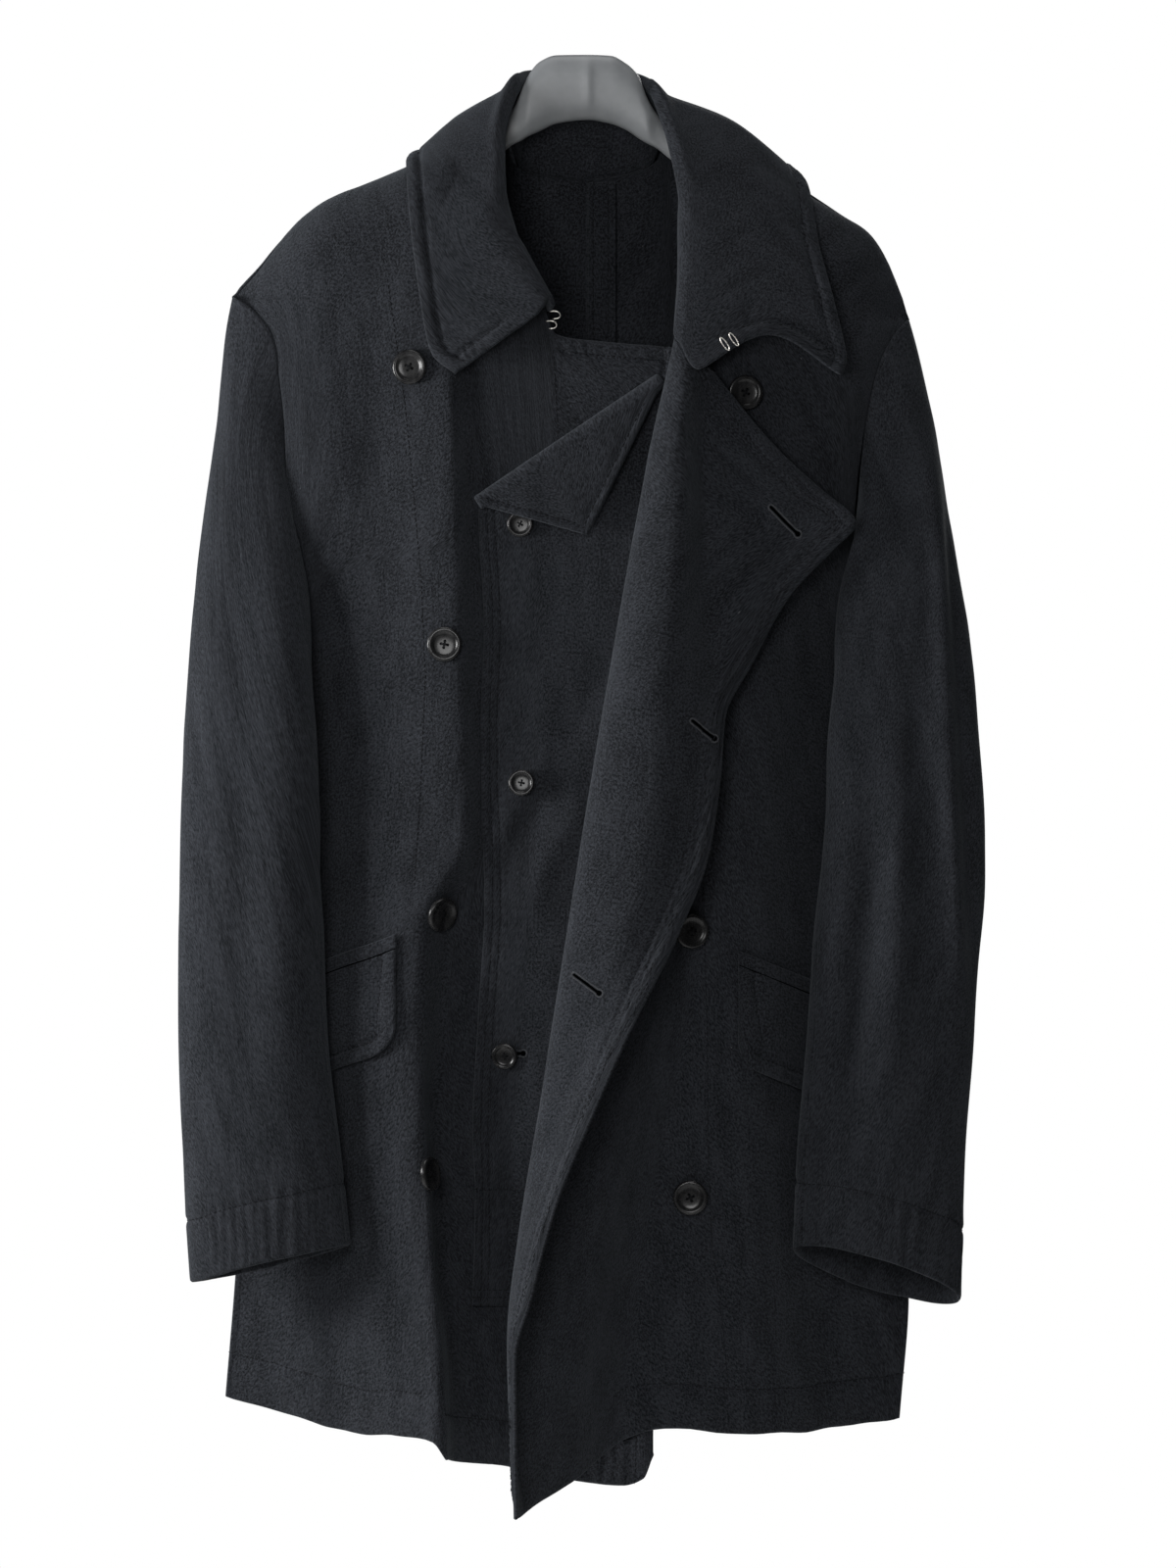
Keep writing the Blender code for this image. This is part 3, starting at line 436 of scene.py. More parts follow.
# Side seams below the armholes
SIDE_RIGHT = SizeTable("z x", (-386, -203), (-500, -212), (-650, -224), (-808, -234), (-894, -241))
SIDE_LEFT = SizeTable("z x", (-390, 181), (-500, 195), (-650, 206), (-826, 213), (-907, 207))
RIGHT = Side(SHOULDER_RIGHT, ARMHOLE_RIGHT, SIDE_RIGHT)
LEFT = Side(SHOULDER_LEFT, ARMHOLE_LEFT, SIDE_LEFT)

# Right front, from the side seam to the free edge of its underlap
RIGHT_UNDER_SLEEVE = SizeTable(
    "z x y", (-100, -188, -30), (-250, -180, -33), (-330, -176, -26), (-400, -180, -6), (-500, -180, 0),
    (-650, -176, 0), (-800, -168, 0), (-910, -168, -2))
RIGHT_CHEST = SizeTable(
    "z x y", (-80, -140, -34), (-300, -140, -40), (-500, -140, -38), (-650, -143, -36), (-800, -134, -36),
    (-920, -128, -34))
RIGHT_RIDGE = SizeTable(
    "z x y", (-60, -100, -36), (-217, -92, -46), (-400, -86, -48), (-520, -83, -48), (-581, -112, -48),
    (-633, -114, -49), (-688, -108, -50), (-785, -102, -52), (-850, -96, -52), (-931, -93, -52))
RIGHT_HOLLOW = SizeTable(
    "z x y", (-39, -58, -20), (-62, -67, -27), (-110, -77, -36), (-217, -77, -37), (-400, -71, -37),
    (-520, -67, -36), (-581, -92, -33), (-688, -92, -28), (-785, -87, -26), (-931, -79, -24))
RIGHT_UNDERLAP = SizeTable(
    "z x y", (-62, -50, -27), (-104, -43, -36), (-140, -37, -38), (-172, -28, -38), (-300, -28, -36),
    (-420, -24, -33), (-540, -30, -36), (-700, -35, -27), (-820, -32, -23), (-941, -32, -22))
RIGHT_EDGE = SizeTable("z x y", (-200, 60, -36), (-400, 52, -32), (-600, 46, -30), (-920, 43, -24))
RIGHT_TOPS = SizeTable(
    "s z", (4, -39.3), (4.33, -58), (4.67, -104), (5, -172), (5.12, -188), (5.5, -193), (6, -197))
RIGHT_HEMS = SizeTable(
    "s z", (0, -894), (0.5, -903), (1, -913), (2, -918), (2.7, -921), (3, -932), (4, -935), (5, -943),
    (5.75, -952), (5.92, -947), (6, -932))

# Left front, from the side seam through the turned-back overlap to its free edge
LEFT_UNDER_SLEEVE = SizeTable(
    "z x y", (-105, 172, -30), (-250, 164, -32), (-330, 157, -27), (-400, 163, -6), (-500, 162, -1),
    (-650, 160, -1), (-800, 160, -1), (-912, 164, -3))
LEFT_CHEST = SizeTable(
    "z x y", (-80, 128, -34), (-300, 124, -38), (-500, 118, -38), (-650, 112, -36), (-800, 110, -34),
    (-916, 112, -33))
LEFT_NECK = SizeTable(
    "z x y", (-43, 54, -20), (-62, 64, -27), (-120, 83, -38), (-190, 86, -42), (-300, 84, -42),
    (-420, 84, -43), (-560, 78, -43), (-640, 66, -40), (-734, 47, -36), (-822, 33, -34), (-922, 20, -33))
LEFT_STEP = SizeTable(
    "z x y", (-50, 46, -22), (-80, 58, -32), (-120, 63, -40), (-190, 69, -46), (-274, 64, -47),
    (-413, 48, -49), (-560, 40, -52), (-640, 34, -54), (-734, 16, -57), (-822, 0, -60), (-940, -8, -56))
LEFT_FOLD = SizeTable(
    "z x y", (-190, 59, -51), (-274, 41, -57), (-413, 16, -60), (-540, -5, -62), (-692, -29, -70),
    (-793, -45, -82), (-850, -51, -90), (-937, -47, -88), (-968, -41, -86))
LEFT_CREST = SizeTable(
    "z x y", (-196, 66, -58), (-230, 62, -68), (-274, 60, -74), (-413, 48, -80), (-540, 32, -82),
    (-653, 0, -88), (-713, -18, -94), (-765, -33, -100), (-822, -45, -106), (-865, -50, -104),
    (-970, -46, -97))
LEFT_VALLEY = SizeTable(
    "z x y", (-208, 78, -54), (-274, 78, -53), (-360, 80, -54), (-413, 83, -57), (-453, 76, -68),
    (-533, 62, -74), (-588, 40, -82), (-653, 16, -97), (-713, -8, -105), (-765, -26, -111),
    (-822, -40, -114), (-865, -49, -111), (-970, -47, -105))
LEFT_EDGE = SizeTable(
    "z x y", (-214, 84, -53), (-263, 124, -49), (-290, 153, -47), (-313, 177, -50), (-330, 162, -50),
    (-361, 133, -52), (-406, 108, -55), (-442, 90, -62), (-481, 87, -69), (-533, 79, -73), (-588, 58, -83),
    (-653, 26, -104), (-713, 0, -112), (-765, -21, -117), (-822, -36, -119), (-865, -47, -117),
    (-970, -46, -112))
LEFT_TOPS = SizeTable(
    "s z", (3, -43.3), (3.33, -60), (3.67, -88), (4, -120), (5, -190), (6, -197), (7, -208), (8, -214))
LEFT_HEMS = SizeTable(
    "s z", (0, -907), (1, -914), (2, -916), (2.6, -913), (3, -922), (4, -945), (5, -966), (6, -969),
    (7, -970), (8, -970))

# Back panels, from the side seam to the centre back seam
BACK_BLADE_RIGHT = SizeTable("z x y", (-90, -140, 34), (-300, -140, 40), (-900, -140, 36))
BACK_BLADE_LEFT = SizeTable("z x y", (-90, 130, 34), (-300, 128, 40), (-910, 120, 36))
BACK_NECK_RIGHT = SizeTable("z x y", (-39, -58, 34), (-300, -66, 42), (-900, -70, 42))
BACK_NECK_LEFT = SizeTable("z x y", (-43, 54, 34), (-300, 62, 42), (-910, 60, 42))
BACK_CENTRE_RIGHT = SizeTable("z x y", (-82, -0.15, 38), (-300, -0.15, 44), (-900, -0.15, 44))
BACK_CENTRE_LEFT = SizeTable("z x y", (-82, 0.15, 38), (-300, 0.15, 44), (-900, 0.15, 44))
BACK_TOPS_RIGHT = SizeTable("s z", (2, -39.3), (2.07, -58), (2.16, -72), (2.35, -78), (2.65, -81), (3, -82))
BACK_TOPS_LEFT = SizeTable("s z", (2, -43.3), (2.07, -58), (2.16, -70), (2.35, -76), (2.65, -80), (3, -82))
BACK_HEMS_RIGHT = SizeTable("s z", (0, -894), (1, -902), (3, -906))
BACK_HEMS_LEFT = SizeTable("s z", (0, -907), (1, -908), (3, -906))

# Sleeve rings: the outer and inner ends of each ring and half its depth
SLEEVE_RIGHT = SizeTable(
    "ring z_out x_out y_out z_in x_in y_in depth",
    (0, -165, -240, 0, -389, -207, 12, 31),
    (1, -190, -243, -2, -404, -210, 8, 34),
    (2, -240, -247, -6, -428, -209, -5, 34),
    (3, -310, -256, -14, -468, -201, -20, 31),
    (4, -400, -265, -24, -512, -186, -32, 28),
    (5, -520, -271, -32, -572, -177, -35, 26),
    (6, -640, -272, -34, -655, -172, -36, 25),
    (7, -735, -269, -35, -732, -163, -36, 24),
    (8, -814, -264, -36, -789, -157, -36, 23))
SLEEVE_LEFT = SizeTable(
    "ring z_out x_out y_out z_in x_in y_in depth",
    (0, -180, 217, 0, -393, 185, 12, 31),
    (1, -205, 222, -2, -408, 188, 8, 34),
    (2, -253, 231, -6, -432, 187, -5, 34),
    (3, -329, 245, -14, -468, 177, -21, 31),
    (4, -422, 257, -24, -512, 163, -32, 28),
    (5, -535, 263, -32, -574, 151, -35, 26),
    (6, -648, 256, -34, -657, 145, -36, 25),
    (7, -742, 249, -35, -735, 139, -36, 24),
    (8, -824, 247, -36, -791, 137, -36, 23))

# How far the front of a sleeve hangs in over the body
SLEEVE_FOLD = SizeTable(
    "ring inward forward", (0, 0, 0), (0.5, 13, 9), (1, 24, 10), (2, 31, 5), (3, 29, 2), (4, 17, 0),
    (5, 5, 0), (6, 0, 0), (8, 0, 0))

# Collar stations from the right front round the neck to the left front: the place on the
# panels' neckline, the roll, the outer edge of the fall, and how its middle rises or dips
COLLAR = SizeTable(
    "station neck xr yr zr xe ye ze dip rise",
    (0, 5.00, -22, -49, -166, -88, -54, -213, 0, 0),
    (1, 4.83, -38, -46, -134, -103, -50, -200, 0, 2),
    (2, 4.66, -54, -43, -98, -113, -47, -150, 0, 3),
    (3, 4.36, -55, -30, -56, -119, -38, -98, 0, 3),
    (4, 4.00, -44, -1, -18, -121, -6, -71, 0, 5),
    (5, 2.20, -38, 16, -14, -112, 34, -66, 0, 5),
    (6, 2.60, -23, 29, -12, -66, 54, -88, 0, 2),
    (7, 3.00, 0, 33, -12, 0, 57, -100, 0, 0),
    (8, 2.60, 22, 29, -13, 66, 54, -90, 0, 2),
    (9, 2.20, 34, 16, -17, 124, 34, -73, 0, 8),
    (10, 3.00, 39, -1, -21, 145, -8, -84, 0, 9),
    (11, 3.35, 53, -31, -58, 153, -40, -126, 0, 4),
    (12, 3.80, 61, -45, -104, 163, -50, -166, 0, 4),
    (13, 4.20, 61, -53, -144, 171, -54, -203, -4, 8),
    (14, 4.50, 57, -62, -187, 168, -57, -214, -18, 25))

# Hanger sections from end to end
HANGER = SizeTable(
    "x top bottom depth", (-194, -120, -142, 9), (-170, -101, -136, 14), (-117, -75.4, -108, 13),
    (-72, -50.8, -77, 8), (-58, -44.5, -66, 5), (-50, -36, -60, 5), (-44, -23, -57, 6.5),
    (-39, -12.5, -54, 8), (-32, -4.5, -51, 8), (-21, -0.3, -46, 8), (0, 0, -43.5, 8), (15, -0.6, -46, 8),
    (25, -5.5, -50, 8), (34, -14.5, -56, 8), (39, -28, -59, 8), (45, -38, -62, 6), (54, -48.5, -69, 5),
    (72, -55.8, -82, 8), (107, -71, -104, 13), (160, -106, -140, 14), (178, -122, -146, 9))

# Inner flap on the right front's underlap, with its top corner folded over
INNER_FLAP = SizeTable(
    "z left right", (-215, -72, 49), (-300, -72, 48), (-382, -68, 46), (-447, -70, 42), (-567, -68, 26),
    (-634, -72, 16), (-715, -76, 4), (-761, -74, -4), (-832, -75, -15))

# Pocket flaps: inner top corner, slope towards the side and width
POCKETS = SizeTable("side x z slope width", (-1, -126, -594, 0.43, 80), (1, 100, -605, 0.42, 80))

# Buttons: where each one sits in the front view, and how much further out from the cloth than usual
RIGHT_BUTTONS = SizeTable(
    "number x z lift", (1, -118, -209, 0), (2, -95, -393, -0.8), (3, -99, -571, 1), (4, -105, -744, -1))
LEFT_BUTTONS = SizeTable(
    "number x z lift", (1, 104, -226, 0), (2, 95, -398, 0), (3, 68, -583, 0), (4, 68, -760, 0))
INNER_BUTTONS = SizeTable("number x z lift", (1, -45, -313, 0), (2, -44, -485, 0), (3, -55, -666, 0))


class ClothNoise:
    """Smooth random field from -1 to 1, with a fixed seed."""

    SIZE = 64

    def __init__(self, seed: int) -> None:
        """Draw the field's corner values from a seed."""
        self.corners = np.random.default_rng(seed).uniform(-1.0, 1.0, (self.SIZE, self.SIZE))

    def at(self, u: Array, v: Array) -> Array:
        """Value of the field.

        Args:
            u: place across, counted in swells.
            v: place along, counted in swells.

        Returns:
            Values from -1 to 1.
        """
        column, row = np.floor(u).astype(int), np.floor(v).astype(int)
        across, along = soft_step(u - column), soft_step(v - row)

        def on_line(line: Array) -> Array:
            """Value between two corners of a line."""
            left, right = (self.corners[line % self.SIZE, k % self.SIZE] for k in (column, column + 1))
            return left * (1 - across) + right * across

        return on_line(row) * (1 - along) + on_line(row + 1) * along


@dataclass(frozen=True)
class Drape:
    """How a cloth hangs: slow swells and the upright crinkles of washed wool."""

    swell: float
    crinkle: float
    seed: int
    swell_size: Pair = (62.0, 190.0)
    crinkle_size: Pair = (13.0, 36.0)
    crinkle_lean: float = 0.35
    patchiness: float = 0.35
    patch_shift: float = 9.0

    def offset(self, u: Array, v: Array) -> Array:
        """How far the cloth stands out.

        Args:
            u: millimetres across the cloth.
            v: millimetres along it.

        Returns:
            Millimetres outwards.
        """
        noise = ClothNoise(self.seed)
        slow = noise.at(u / self.swell_size[0], v / self.swell_size[1])
        lean = self.crinkle_lean * noise.at(v / self.swell_size[0], u / self.swell_size[1])
        small = noise.at(u / self.crinkle_size[0] + lean, v / self.crinkle_size[1])
        patch = noise.at(u / self.swell_size[0] + self.patch_shift, v / self.swell_size[0])
        patch = 1.0 - self.patchiness + self.patchiness * patch
        return self.swell * slow + self.crinkle * patch * small


@dataclass(frozen=True)
class Crease:
    """A soft trough or ridge along a path in the front view, as deep in its middle as stated."""

    path: Path2
    width: float
    rise: float
    taper: float = 0.3
    between: Pair = (-99.0, 99.0)
    layer_fade: float = 0.3

    def on_layer(self, layers: Array) -> Array:
        """1 on the columns that the crease lies on, 0 on layers behind or before them."""
        inside = np.minimum(layers - self.between[0], self.between[1] - layers)
        return soft_step(inside / self.layer_fade + 0.5)

    def offset(self, x: Array, z: Array) -> Array:
        """How far the cloth stands out because of this crease.

        Args:
            x: sideways places.
            z: heights.

        Returns:
            Millimetres outwards.
        """
        points = np.array(self.path, float)
        steps = length_of(np.diff(points, axis=0))[:, 0]
        total = steps.sum()
        gone = 0.0
        best = np.full(np.shape(x), np.inf)
        share = np.zeros(np.shape(x))
        for start, end, step in zip(points, points[1:], steps):
            way = (end - start) / step
            along = np.clip((x - start[0]) * way[0] + (z - start[1]) * way[1], 0.0, step)
            off = np.hypot(x - start[0] - way[0] * along, z - start[1] - way[1] * along)
            share = np.where(off < best, (gone + along) / total, share)
            best = np.minimum(best, off)
            gone += step
        fade = soft_step(np.minimum(share, 1.0 - share) / self.taper)
        return self.rise * fade * np.exp(-((best / self.width) ** 2))


class Surface:
    """A grid of points on a cloth's outer face: rows down, columns to the right seen from outside."""

    def __init__(self, points: Array) -> None:
        """Keep the points and work out how the face lies.

        Args:
            points: rows, columns and coordinates in millimetres.
        """
        self.points = points
        normal = np.cross(np.gradient(points, axis=0), np.gradient(points, axis=1))
        self.normals = normal / length_of(normal)

    def arcs(self, edge: Edge) -> tuple[Array, Array]:
        """Distances on the cloth from an edge, and along that edge.

        Args:
            edge: the edge to measure from.

        Returns:
            Distance from the edge, and distance along it, at each point.
        """
        sides = np.diff(self.points, axis=1, prepend=self.points[:, :1])
        falls = np.diff(self.points, axis=0, prepend=self.points[:1])
        across = np.cumsum(length_of(sides)[..., 0], axis=1)
        down = np.cumsum(length_of(falls)[..., 0], axis=0)
        if edge is Edge.LEFT:
            return across, down
        if edge is Edge.RIGHT:
            return across[:, -1:] - across, down
        if edge is Edge.TOP:
            return down, across
        return down[-1:] - down, across

    @staticmethod
    def seen_from(edge: Edge, grid: Array) -> Array:
        """A grid turned so that an edge is its first column and its rows run inwards."""
        grid = np.swapaxes(grid, 0, 1) if edge.runs_across else grid
        return grid[:, ::-1] if edge in (Edge.RIGHT, Edge.BOTTOM) else grid

    def lean(self, edge: Edge) -> Array:
        """How squarely the grid's lines meet an edge.

        Args:
            edge: the edge that they meet.

        Returns:
            1 at each point of the edge where they meet it squarely, less where they slant.
        """
        face = self.seen_from(edge, self.points)
        along = np.gradient(face[:, 0], axis=0)
        inward = face[:, 2] - face[:, 0]
        square = np.linalg.norm(np.cross(along / length_of(along), inward / length_of(inward)), axis=-1)
        return np.clip(square, LEAST_LEAN, 1.0)

    def at(self, rows: Array, columns: Array, lift: float) -> Array:
        """Points between the grid's own.

        Args:
            rows: fractional rows.
            columns: fractional columns.
            lift: distance out from the face.

        Returns:
            Points in millimetres.
        """
        i = np.clip(np.asarray(rows).astype(int), 0, self.points.shape[0] - 2)
        j = np.clip(np.asarray(columns).astype(int), 0, self.points.shape[1] - 2)
        fi = (rows - i)[..., None]
        fj = (columns - j)[..., None]
        face = self.points + lift * self.normals
        upper = face[i, j] * (1 - fj) + face[i, j + 1] * fj
        lower = face[i + 1, j] * (1 - fj) + face[i + 1, j + 1] * fj
        return upper * (1 - fi) + lower * fi

    def inset(self, edge: Edge, distance: float, span: Pair, lift: float) -> Array:
        """A path at a distance inside an edge.

        Args:
            edge: the edge to follow.
            distance: how far inside it the path runs.
            span: shares of the edge where the path starts and ends.
            lift: distance out from the face.

        Returns:
            Points of the path in millimetres.
        """
        face = self.seen_from(edge, self.points + lift * self.normals)
        count = len(face)
        used = slice(int(span[0] * (count - 1)), int(span[1] * (count - 1)) + 1)
        path = []
        for line, lean in zip(face[used], self.lean(edge)[used]):
            gone = np.cumsum(length_of(np.diff(line, axis=0, prepend=line[:1]))[:, 0])
            path.append([np.interp(distance / lean, gone, axis) for axis in line.T])
        return np.array(path)


@dataclass(frozen=True)
class Topstitch:
    """A row of stitches inside an edge, with the dent and puckers it pulls into the cloth."""

    edge: Edge
    inset: float
    span: Pair = (0.0, 1.0)
    inner_face: bool = False
    dent: float = 1.0
    dent_width: float = 2.0
    puff: float = 0.6
    pucker: float = 0.4
    pitch: float = 6.4
    wander: float = 1.3
    seed: int = 3

    WANDER_LENGTH = 21.0
    STRENGTH_LENGTH = 23.0
    UNEVEN = 0.4
    RIM = 2.0
    REACH = 1.35
    FADE = 0.4
    PUFF_AT = 0.5
    END_FADE = 0.03

    def offset(self, surface: Surface) -> Array:
        """How far the cloth stands out because of this row.

        Args:
            surface: the cloth before it is stitched.

        Returns:
            Millimetres outwards at each point.
        """
        away, along = surface.arcs(self.edge)
        lean = surface.lean(self.edge)
        away = away * (lean[None, :] if self.edge.runs_across else lean[:, None])
        wander = ClothNoise(self.seed).at(along / self.WANDER_LENGTH, away * 0.0)
        wave = np.sin(2.0 * math.pi * (along / self.pitch + self.wander * wander))
        strength = ClothNoise(self.seed + 1).at(along / self.STRENGTH_LENGTH, away * 0.0)
        strength = 1.0 - self.UNEVEN + self.UNEVEN * strength
        fade_width = self.FADE * self.inset
        band = soft_step(away / self.RIM) * soft_step((self.REACH * self.inset - away) / fade_width)
        dent = self.dent * np.exp(-(((away - self.inset) / self.dent_width) ** 2))
        puff = self.puff * np.exp(-(((away - self.PUFF_AT * self.inset) / fade_width) ** 2))
        rows, columns = away.shape
        share = np.linspace(0.0, 1.0, columns if self.edge.runs_across else rows)
        share = share[None, :] if self.edge.runs_across else share[:, None]
        fade = soft_step((share - self.span[0]) / self.END_FADE + 0.5)
        fade = fade * soft_step((self.span[1] - share) / self.END_FADE + 0.5)
        side = -1.0 if self.inner_face else 1.0
        return fade * (self.pucker * wave * strength * band + side * (puff - dent))


def full_turn(count: int) -> Array:
    """Angles of a whole turn in even steps."""
    return np.linspace(0.0, 2.0 * math.pi, count, endpoint=False)


def grid_faces(number: Array) -> Array:
    """Four-sided faces between the points of a grid of point numbers."""
    corners = [number[:-1, :-1], number[1:, :-1], number[1:, 1:], number[:-1, 1:]]
    return np.stack(corners, axis=-1).reshape(-1, 4)


def ring_faces(rings: int, sides: int, closed: bool = False) -> Faces:
    """Faces round a row of rings.

    Args:
        rings: number of rings.
        sides: points of each ring.
        closed: whether the last ring joins the first. If not, both ends are flat faces.

    Returns:
        Point numbers of each face.
    """
    number = np.arange(rings * sides).reshape(rings, sides)
    ends = [] if closed else [number[0].tolist(), number[-1, ::-1].tolist()]
    return grid_faces(np.pad(number, ((0, int(closed)), (0, 1)), mode="wrap")).tolist() + ends


def as_mesh(name: str, points: Array, faces: Sequence[Sequence[int]]) -> Mesh:
    """Smooth mesh from points in millimetres.

    Args:
        name: the mesh's name.
        points: one row for each point.
        faces: point numbers of each face, outside faces anticlockwise.

    Returns:
        The new mesh.
    """
    mesh = bpy.data.meshes.new(name)
    mesh.from_pydata((points * MM).tolist(), [], faces)
    mesh.shade_smooth()
    return mesh


def add_piece(name: str, mesh: Mesh, finish: Material, slot: str, *nodes: str) -> Object:
    """Put a finished mesh in the scene, riding on the coat's body.

    Args:
        name: the piece's name.
        mesh: its mesh, with its place in it.
        finish: its material.
        slot: the record's material slot; not used.
        nodes: solids that the piece stands for.

    Returns:
        The new object.
    """
    piece = bpy.data.objects.new(name, mesh)
    bpy.context.scene.collection.objects.link(piece)
    if not mesh.materials:
        mesh.materials.append(finish)
    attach(piece, BODY)
    if nodes:
        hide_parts(*nodes)
    LOG.info("%s: %d faces", name, len(mesh.polygons))
    return piece


@dataclass
class ClothPiece:
    """One cut of cloth: a thin shell behind its outer face, with rounded edges."""

    name: str
    base: Array
    wall: float
    drape: Drape
    flat: Pair
    cut: float
    creases: tuple[Crease, ...] = ()
    rows_of_stitches: tuple[Topstitch, ...] = ()
    edge_round: float = 0.9
    calm: Array | None = None
    layers: Array | None = None
    hem_wave: float = 0.0
    wave_length: float = 21.0
    wave_reach: float = 12.0

    def __post_init__(self) -> None:
        """Lay the drape, creases and puckers on the plain form."""
        away, along = Surface(self.base).arcs(Edge.BOTTOM)
        ripple = ClothNoise(self.drape.seed + 5).at(along / self.wave_length, 0.0 * along)
        self.base = self.base.copy()
        self.base[..., 2] += self.hem_wave * ripple * np.exp(-away / self.wave_reach)
        plain = Surface(self.base)
        u, v = plain.arcs(Edge.LEFT)
        offset = self.drape.offset(u, v)
        if self.calm is not None:
            offset = offset * self.calm
        x, z = self.base[..., 0], self.base[..., 2]
        for crease in self.creases:
            part = crease.offset(x, z)
            offset = offset + (part if self.layers is None else part * crease.on_layer(self.layers))
        for row in self.rows_of_stitches:
            offset = offset + row.offset(plain)
        self.surface = Surface(self.base + plain.normals * offset[..., None])
        self.surface.normals = plain.normals
        self.uv = np.stack([u, v], axis=-1) * MM

    def mesh(self) -> Mesh:
        """Closed shell with its cloth map.

        Returns:
            The new mesh.
        """
        outer = self.surface.points
        rows, columns = outer.shape[:2]
        inner = outer - self.wall * self.surface.normals
        number = np.arange(rows * columns).reshape(rows, columns)
        loop = np.concatenate([number[0, :-1], number[:-1, -1], number[-1, :0:-1], number[:0:-1, 0]])
        reach = np.zeros_like(outer)
        reach[0] += outer[0] - outer[1]
        reach[-1] += outer[-1] - outer[-2]
        reach[:, 0] += outer[:, 0] - outer[:, 1]
        reach[:, -1] += outer[:, -1] - outer[:, -2]
        reach = (reach / length_of(reach)).reshape(-1, 3)[loop]
        middle = 0.5 * (outer + inner).reshape(-1, 3)[loop] + reach * self.edge_round
        quads = grid_faces(number)
        back = quads[:, ::-1] + rows * columns
        rim = 2 * rows * columns + np.arange(len(loop))
        after, rim_after = np.roll(loop, -1), np.roll(rim, -1)
        front_rim = np.stack([loop, after, rim_after, rim], axis=-1)
        back_rim = np.stack([rim, rim_after, after + rows * columns, loop + rows * columns], axis=-1)
        faces = np.concatenate([quads, back, front_rim, back_rim])
        points = np.concatenate([outer.reshape(-1, 3), inner.reshape(-1, 3), middle])
        mesh = as_mesh(self.name, points, faces.tolist())
        uv = self.uv.reshape(-1, 2)
        uv = np.concatenate([uv, uv, uv[loop]])
        mesh.uv_layers.new(name="cloth").data.foreach_set("uv", uv[faces.ravel()].ravel())
        return mesh

    def build(self, finish: Material, *nodes: str) -> Object:
        """Args:
            finish: the cloth's material.
            nodes: solids that the piece stands for.

        Returns:
            The new object.
        """
        piece = add_piece(self.name, self.mesh(), finish, "wool", *nodes)
        return piece

    def stitch_paths(self, lift: float) -> list[Array]:
        """Paths of the rows of stitches on the finished cloth, a little way out from it.

        Args:
            lift: how far out from the cloth.

        Returns:
            One path for each row.
        """
        paths = []
        for row in self.rows_of_stitches:
            out = -(self.wall + lift) if row.inner_face else lift
            paths.append(self.surface.inset(row.edge, row.inset, row.span, out))
        return paths


class NodeTree:
    """A node tree with short ways to add and join its nodes."""

    def __init__(self, tree: bpy.types.NodeTree) -> None:
        """Keep the tree that the nodes go into."""
        self.tree = tree

    def fill(self, node: Node, values: NodeValues) -> None:
        """Set a node's inputs, or join them to other nodes' outputs.

        Args:
            node: the node to fill.
            values: a value or an output for each input, by the input's name or place.
        """
        for place, value in values.items():
            if isinstance(value, Socket):
                self.tree.links.new(value, node.inputs[place])
            else:
                node.inputs[place].default_value = value

    def add(self, kind: str, values: NodeValues | None = None, **settings: object) -> Node:
        """Add a node.

        Args:
            kind: the node's type.
            values: its inputs.
            settings: its own properties.

        Returns:
            The new node.
        """
        node = self.tree.nodes.new(kind)
        for name, value in settings.items():
            setattr(node, name, value)
        self.fill(node, values or {})
        return node

    def math(self, operation: str, first: object, second: object) -> Socket:
        """Result of a calculation with two values."""
        return self.add("ShaderNodeMath", {0: first, 1: second}, operation=operation).outputs[0]


@dataclass(frozen=True)
class Grain:
    """A noise pattern: grains in a metre, finer layers, and how it is stretched."""

    scale: float
    detail: float
    stretch: Triple = (1.0, 1.0, 1.0)
    roughness: float = 0.62


class NodeSheet(NodeTree):
    """A new material with its shader."""

    def __init__(self, name: str) -> None:
        """Start the material with a name."""
        self.material = bpy.data.materials.new(name)
        self.material.use_nodes = True
        super().__init__(self.material.node_tree)
        self.shader = self.tree.nodes["Principled BSDF"]

    def noise(self, where: Socket, grain: Grain) -> Socket:
        """Smooth noise over a surface.

        Args:
            where: coordinates to read.
            grain: the noise's pattern.

        Returns:
            The noise value.
        """
        moved = self.add("ShaderNodeMapping", {"Vector": where, "Scale": grain.stretch}).outputs["Vector"]
        values = {"Vector": moved, "Scale": grain.scale, "Detail": grain.detail, "Roughness": grain.roughness}
        return self.add("ShaderNodeTexNoise", values).outputs["Fac"]

    def ramp(self, value: Socket, *stops: tuple[float, Triple]) -> Socket:
        """Colours along a value.

        Args:
            value: value from 0 to 1.
            stops: place and colour of each stop.

        Returns:
            The colour.
        """
        node = self.add("ShaderNodeValToRGB", {"Fac": value})
        elements = node.color_ramp.elements
        for element, (place, colour) in zip(elements, stops):
            element.position = place
            element.color = (*colour, 1.0)
        return node.outputs["Color"]

    def mix(self, share: Socket, first: object, second: object) -> Socket:
        """Colour mixed from two, with a share of the second."""
        return self.add("ShaderNodeMix", {0: share, 6: first, 7: second}, data_type="RGBA").outputs[2]

    def bump(self, height: Socket, distance: float, under: Socket | None = None) -> Socket:
        """Normal with a height laid on it.

        Args:
            height: height from 0 to 1.
            distance: size of the height in millimetres.
            under: normal that the height is added to.

        Returns:
            The new normal.
        """
        values: NodeValues = {"Height": height, "Distance": distance * MM, "Strength": 1.0}
        if under is not None:
            values["Normal"] = under
        return self.add("ShaderNodeBump", values).outputs["Normal"]


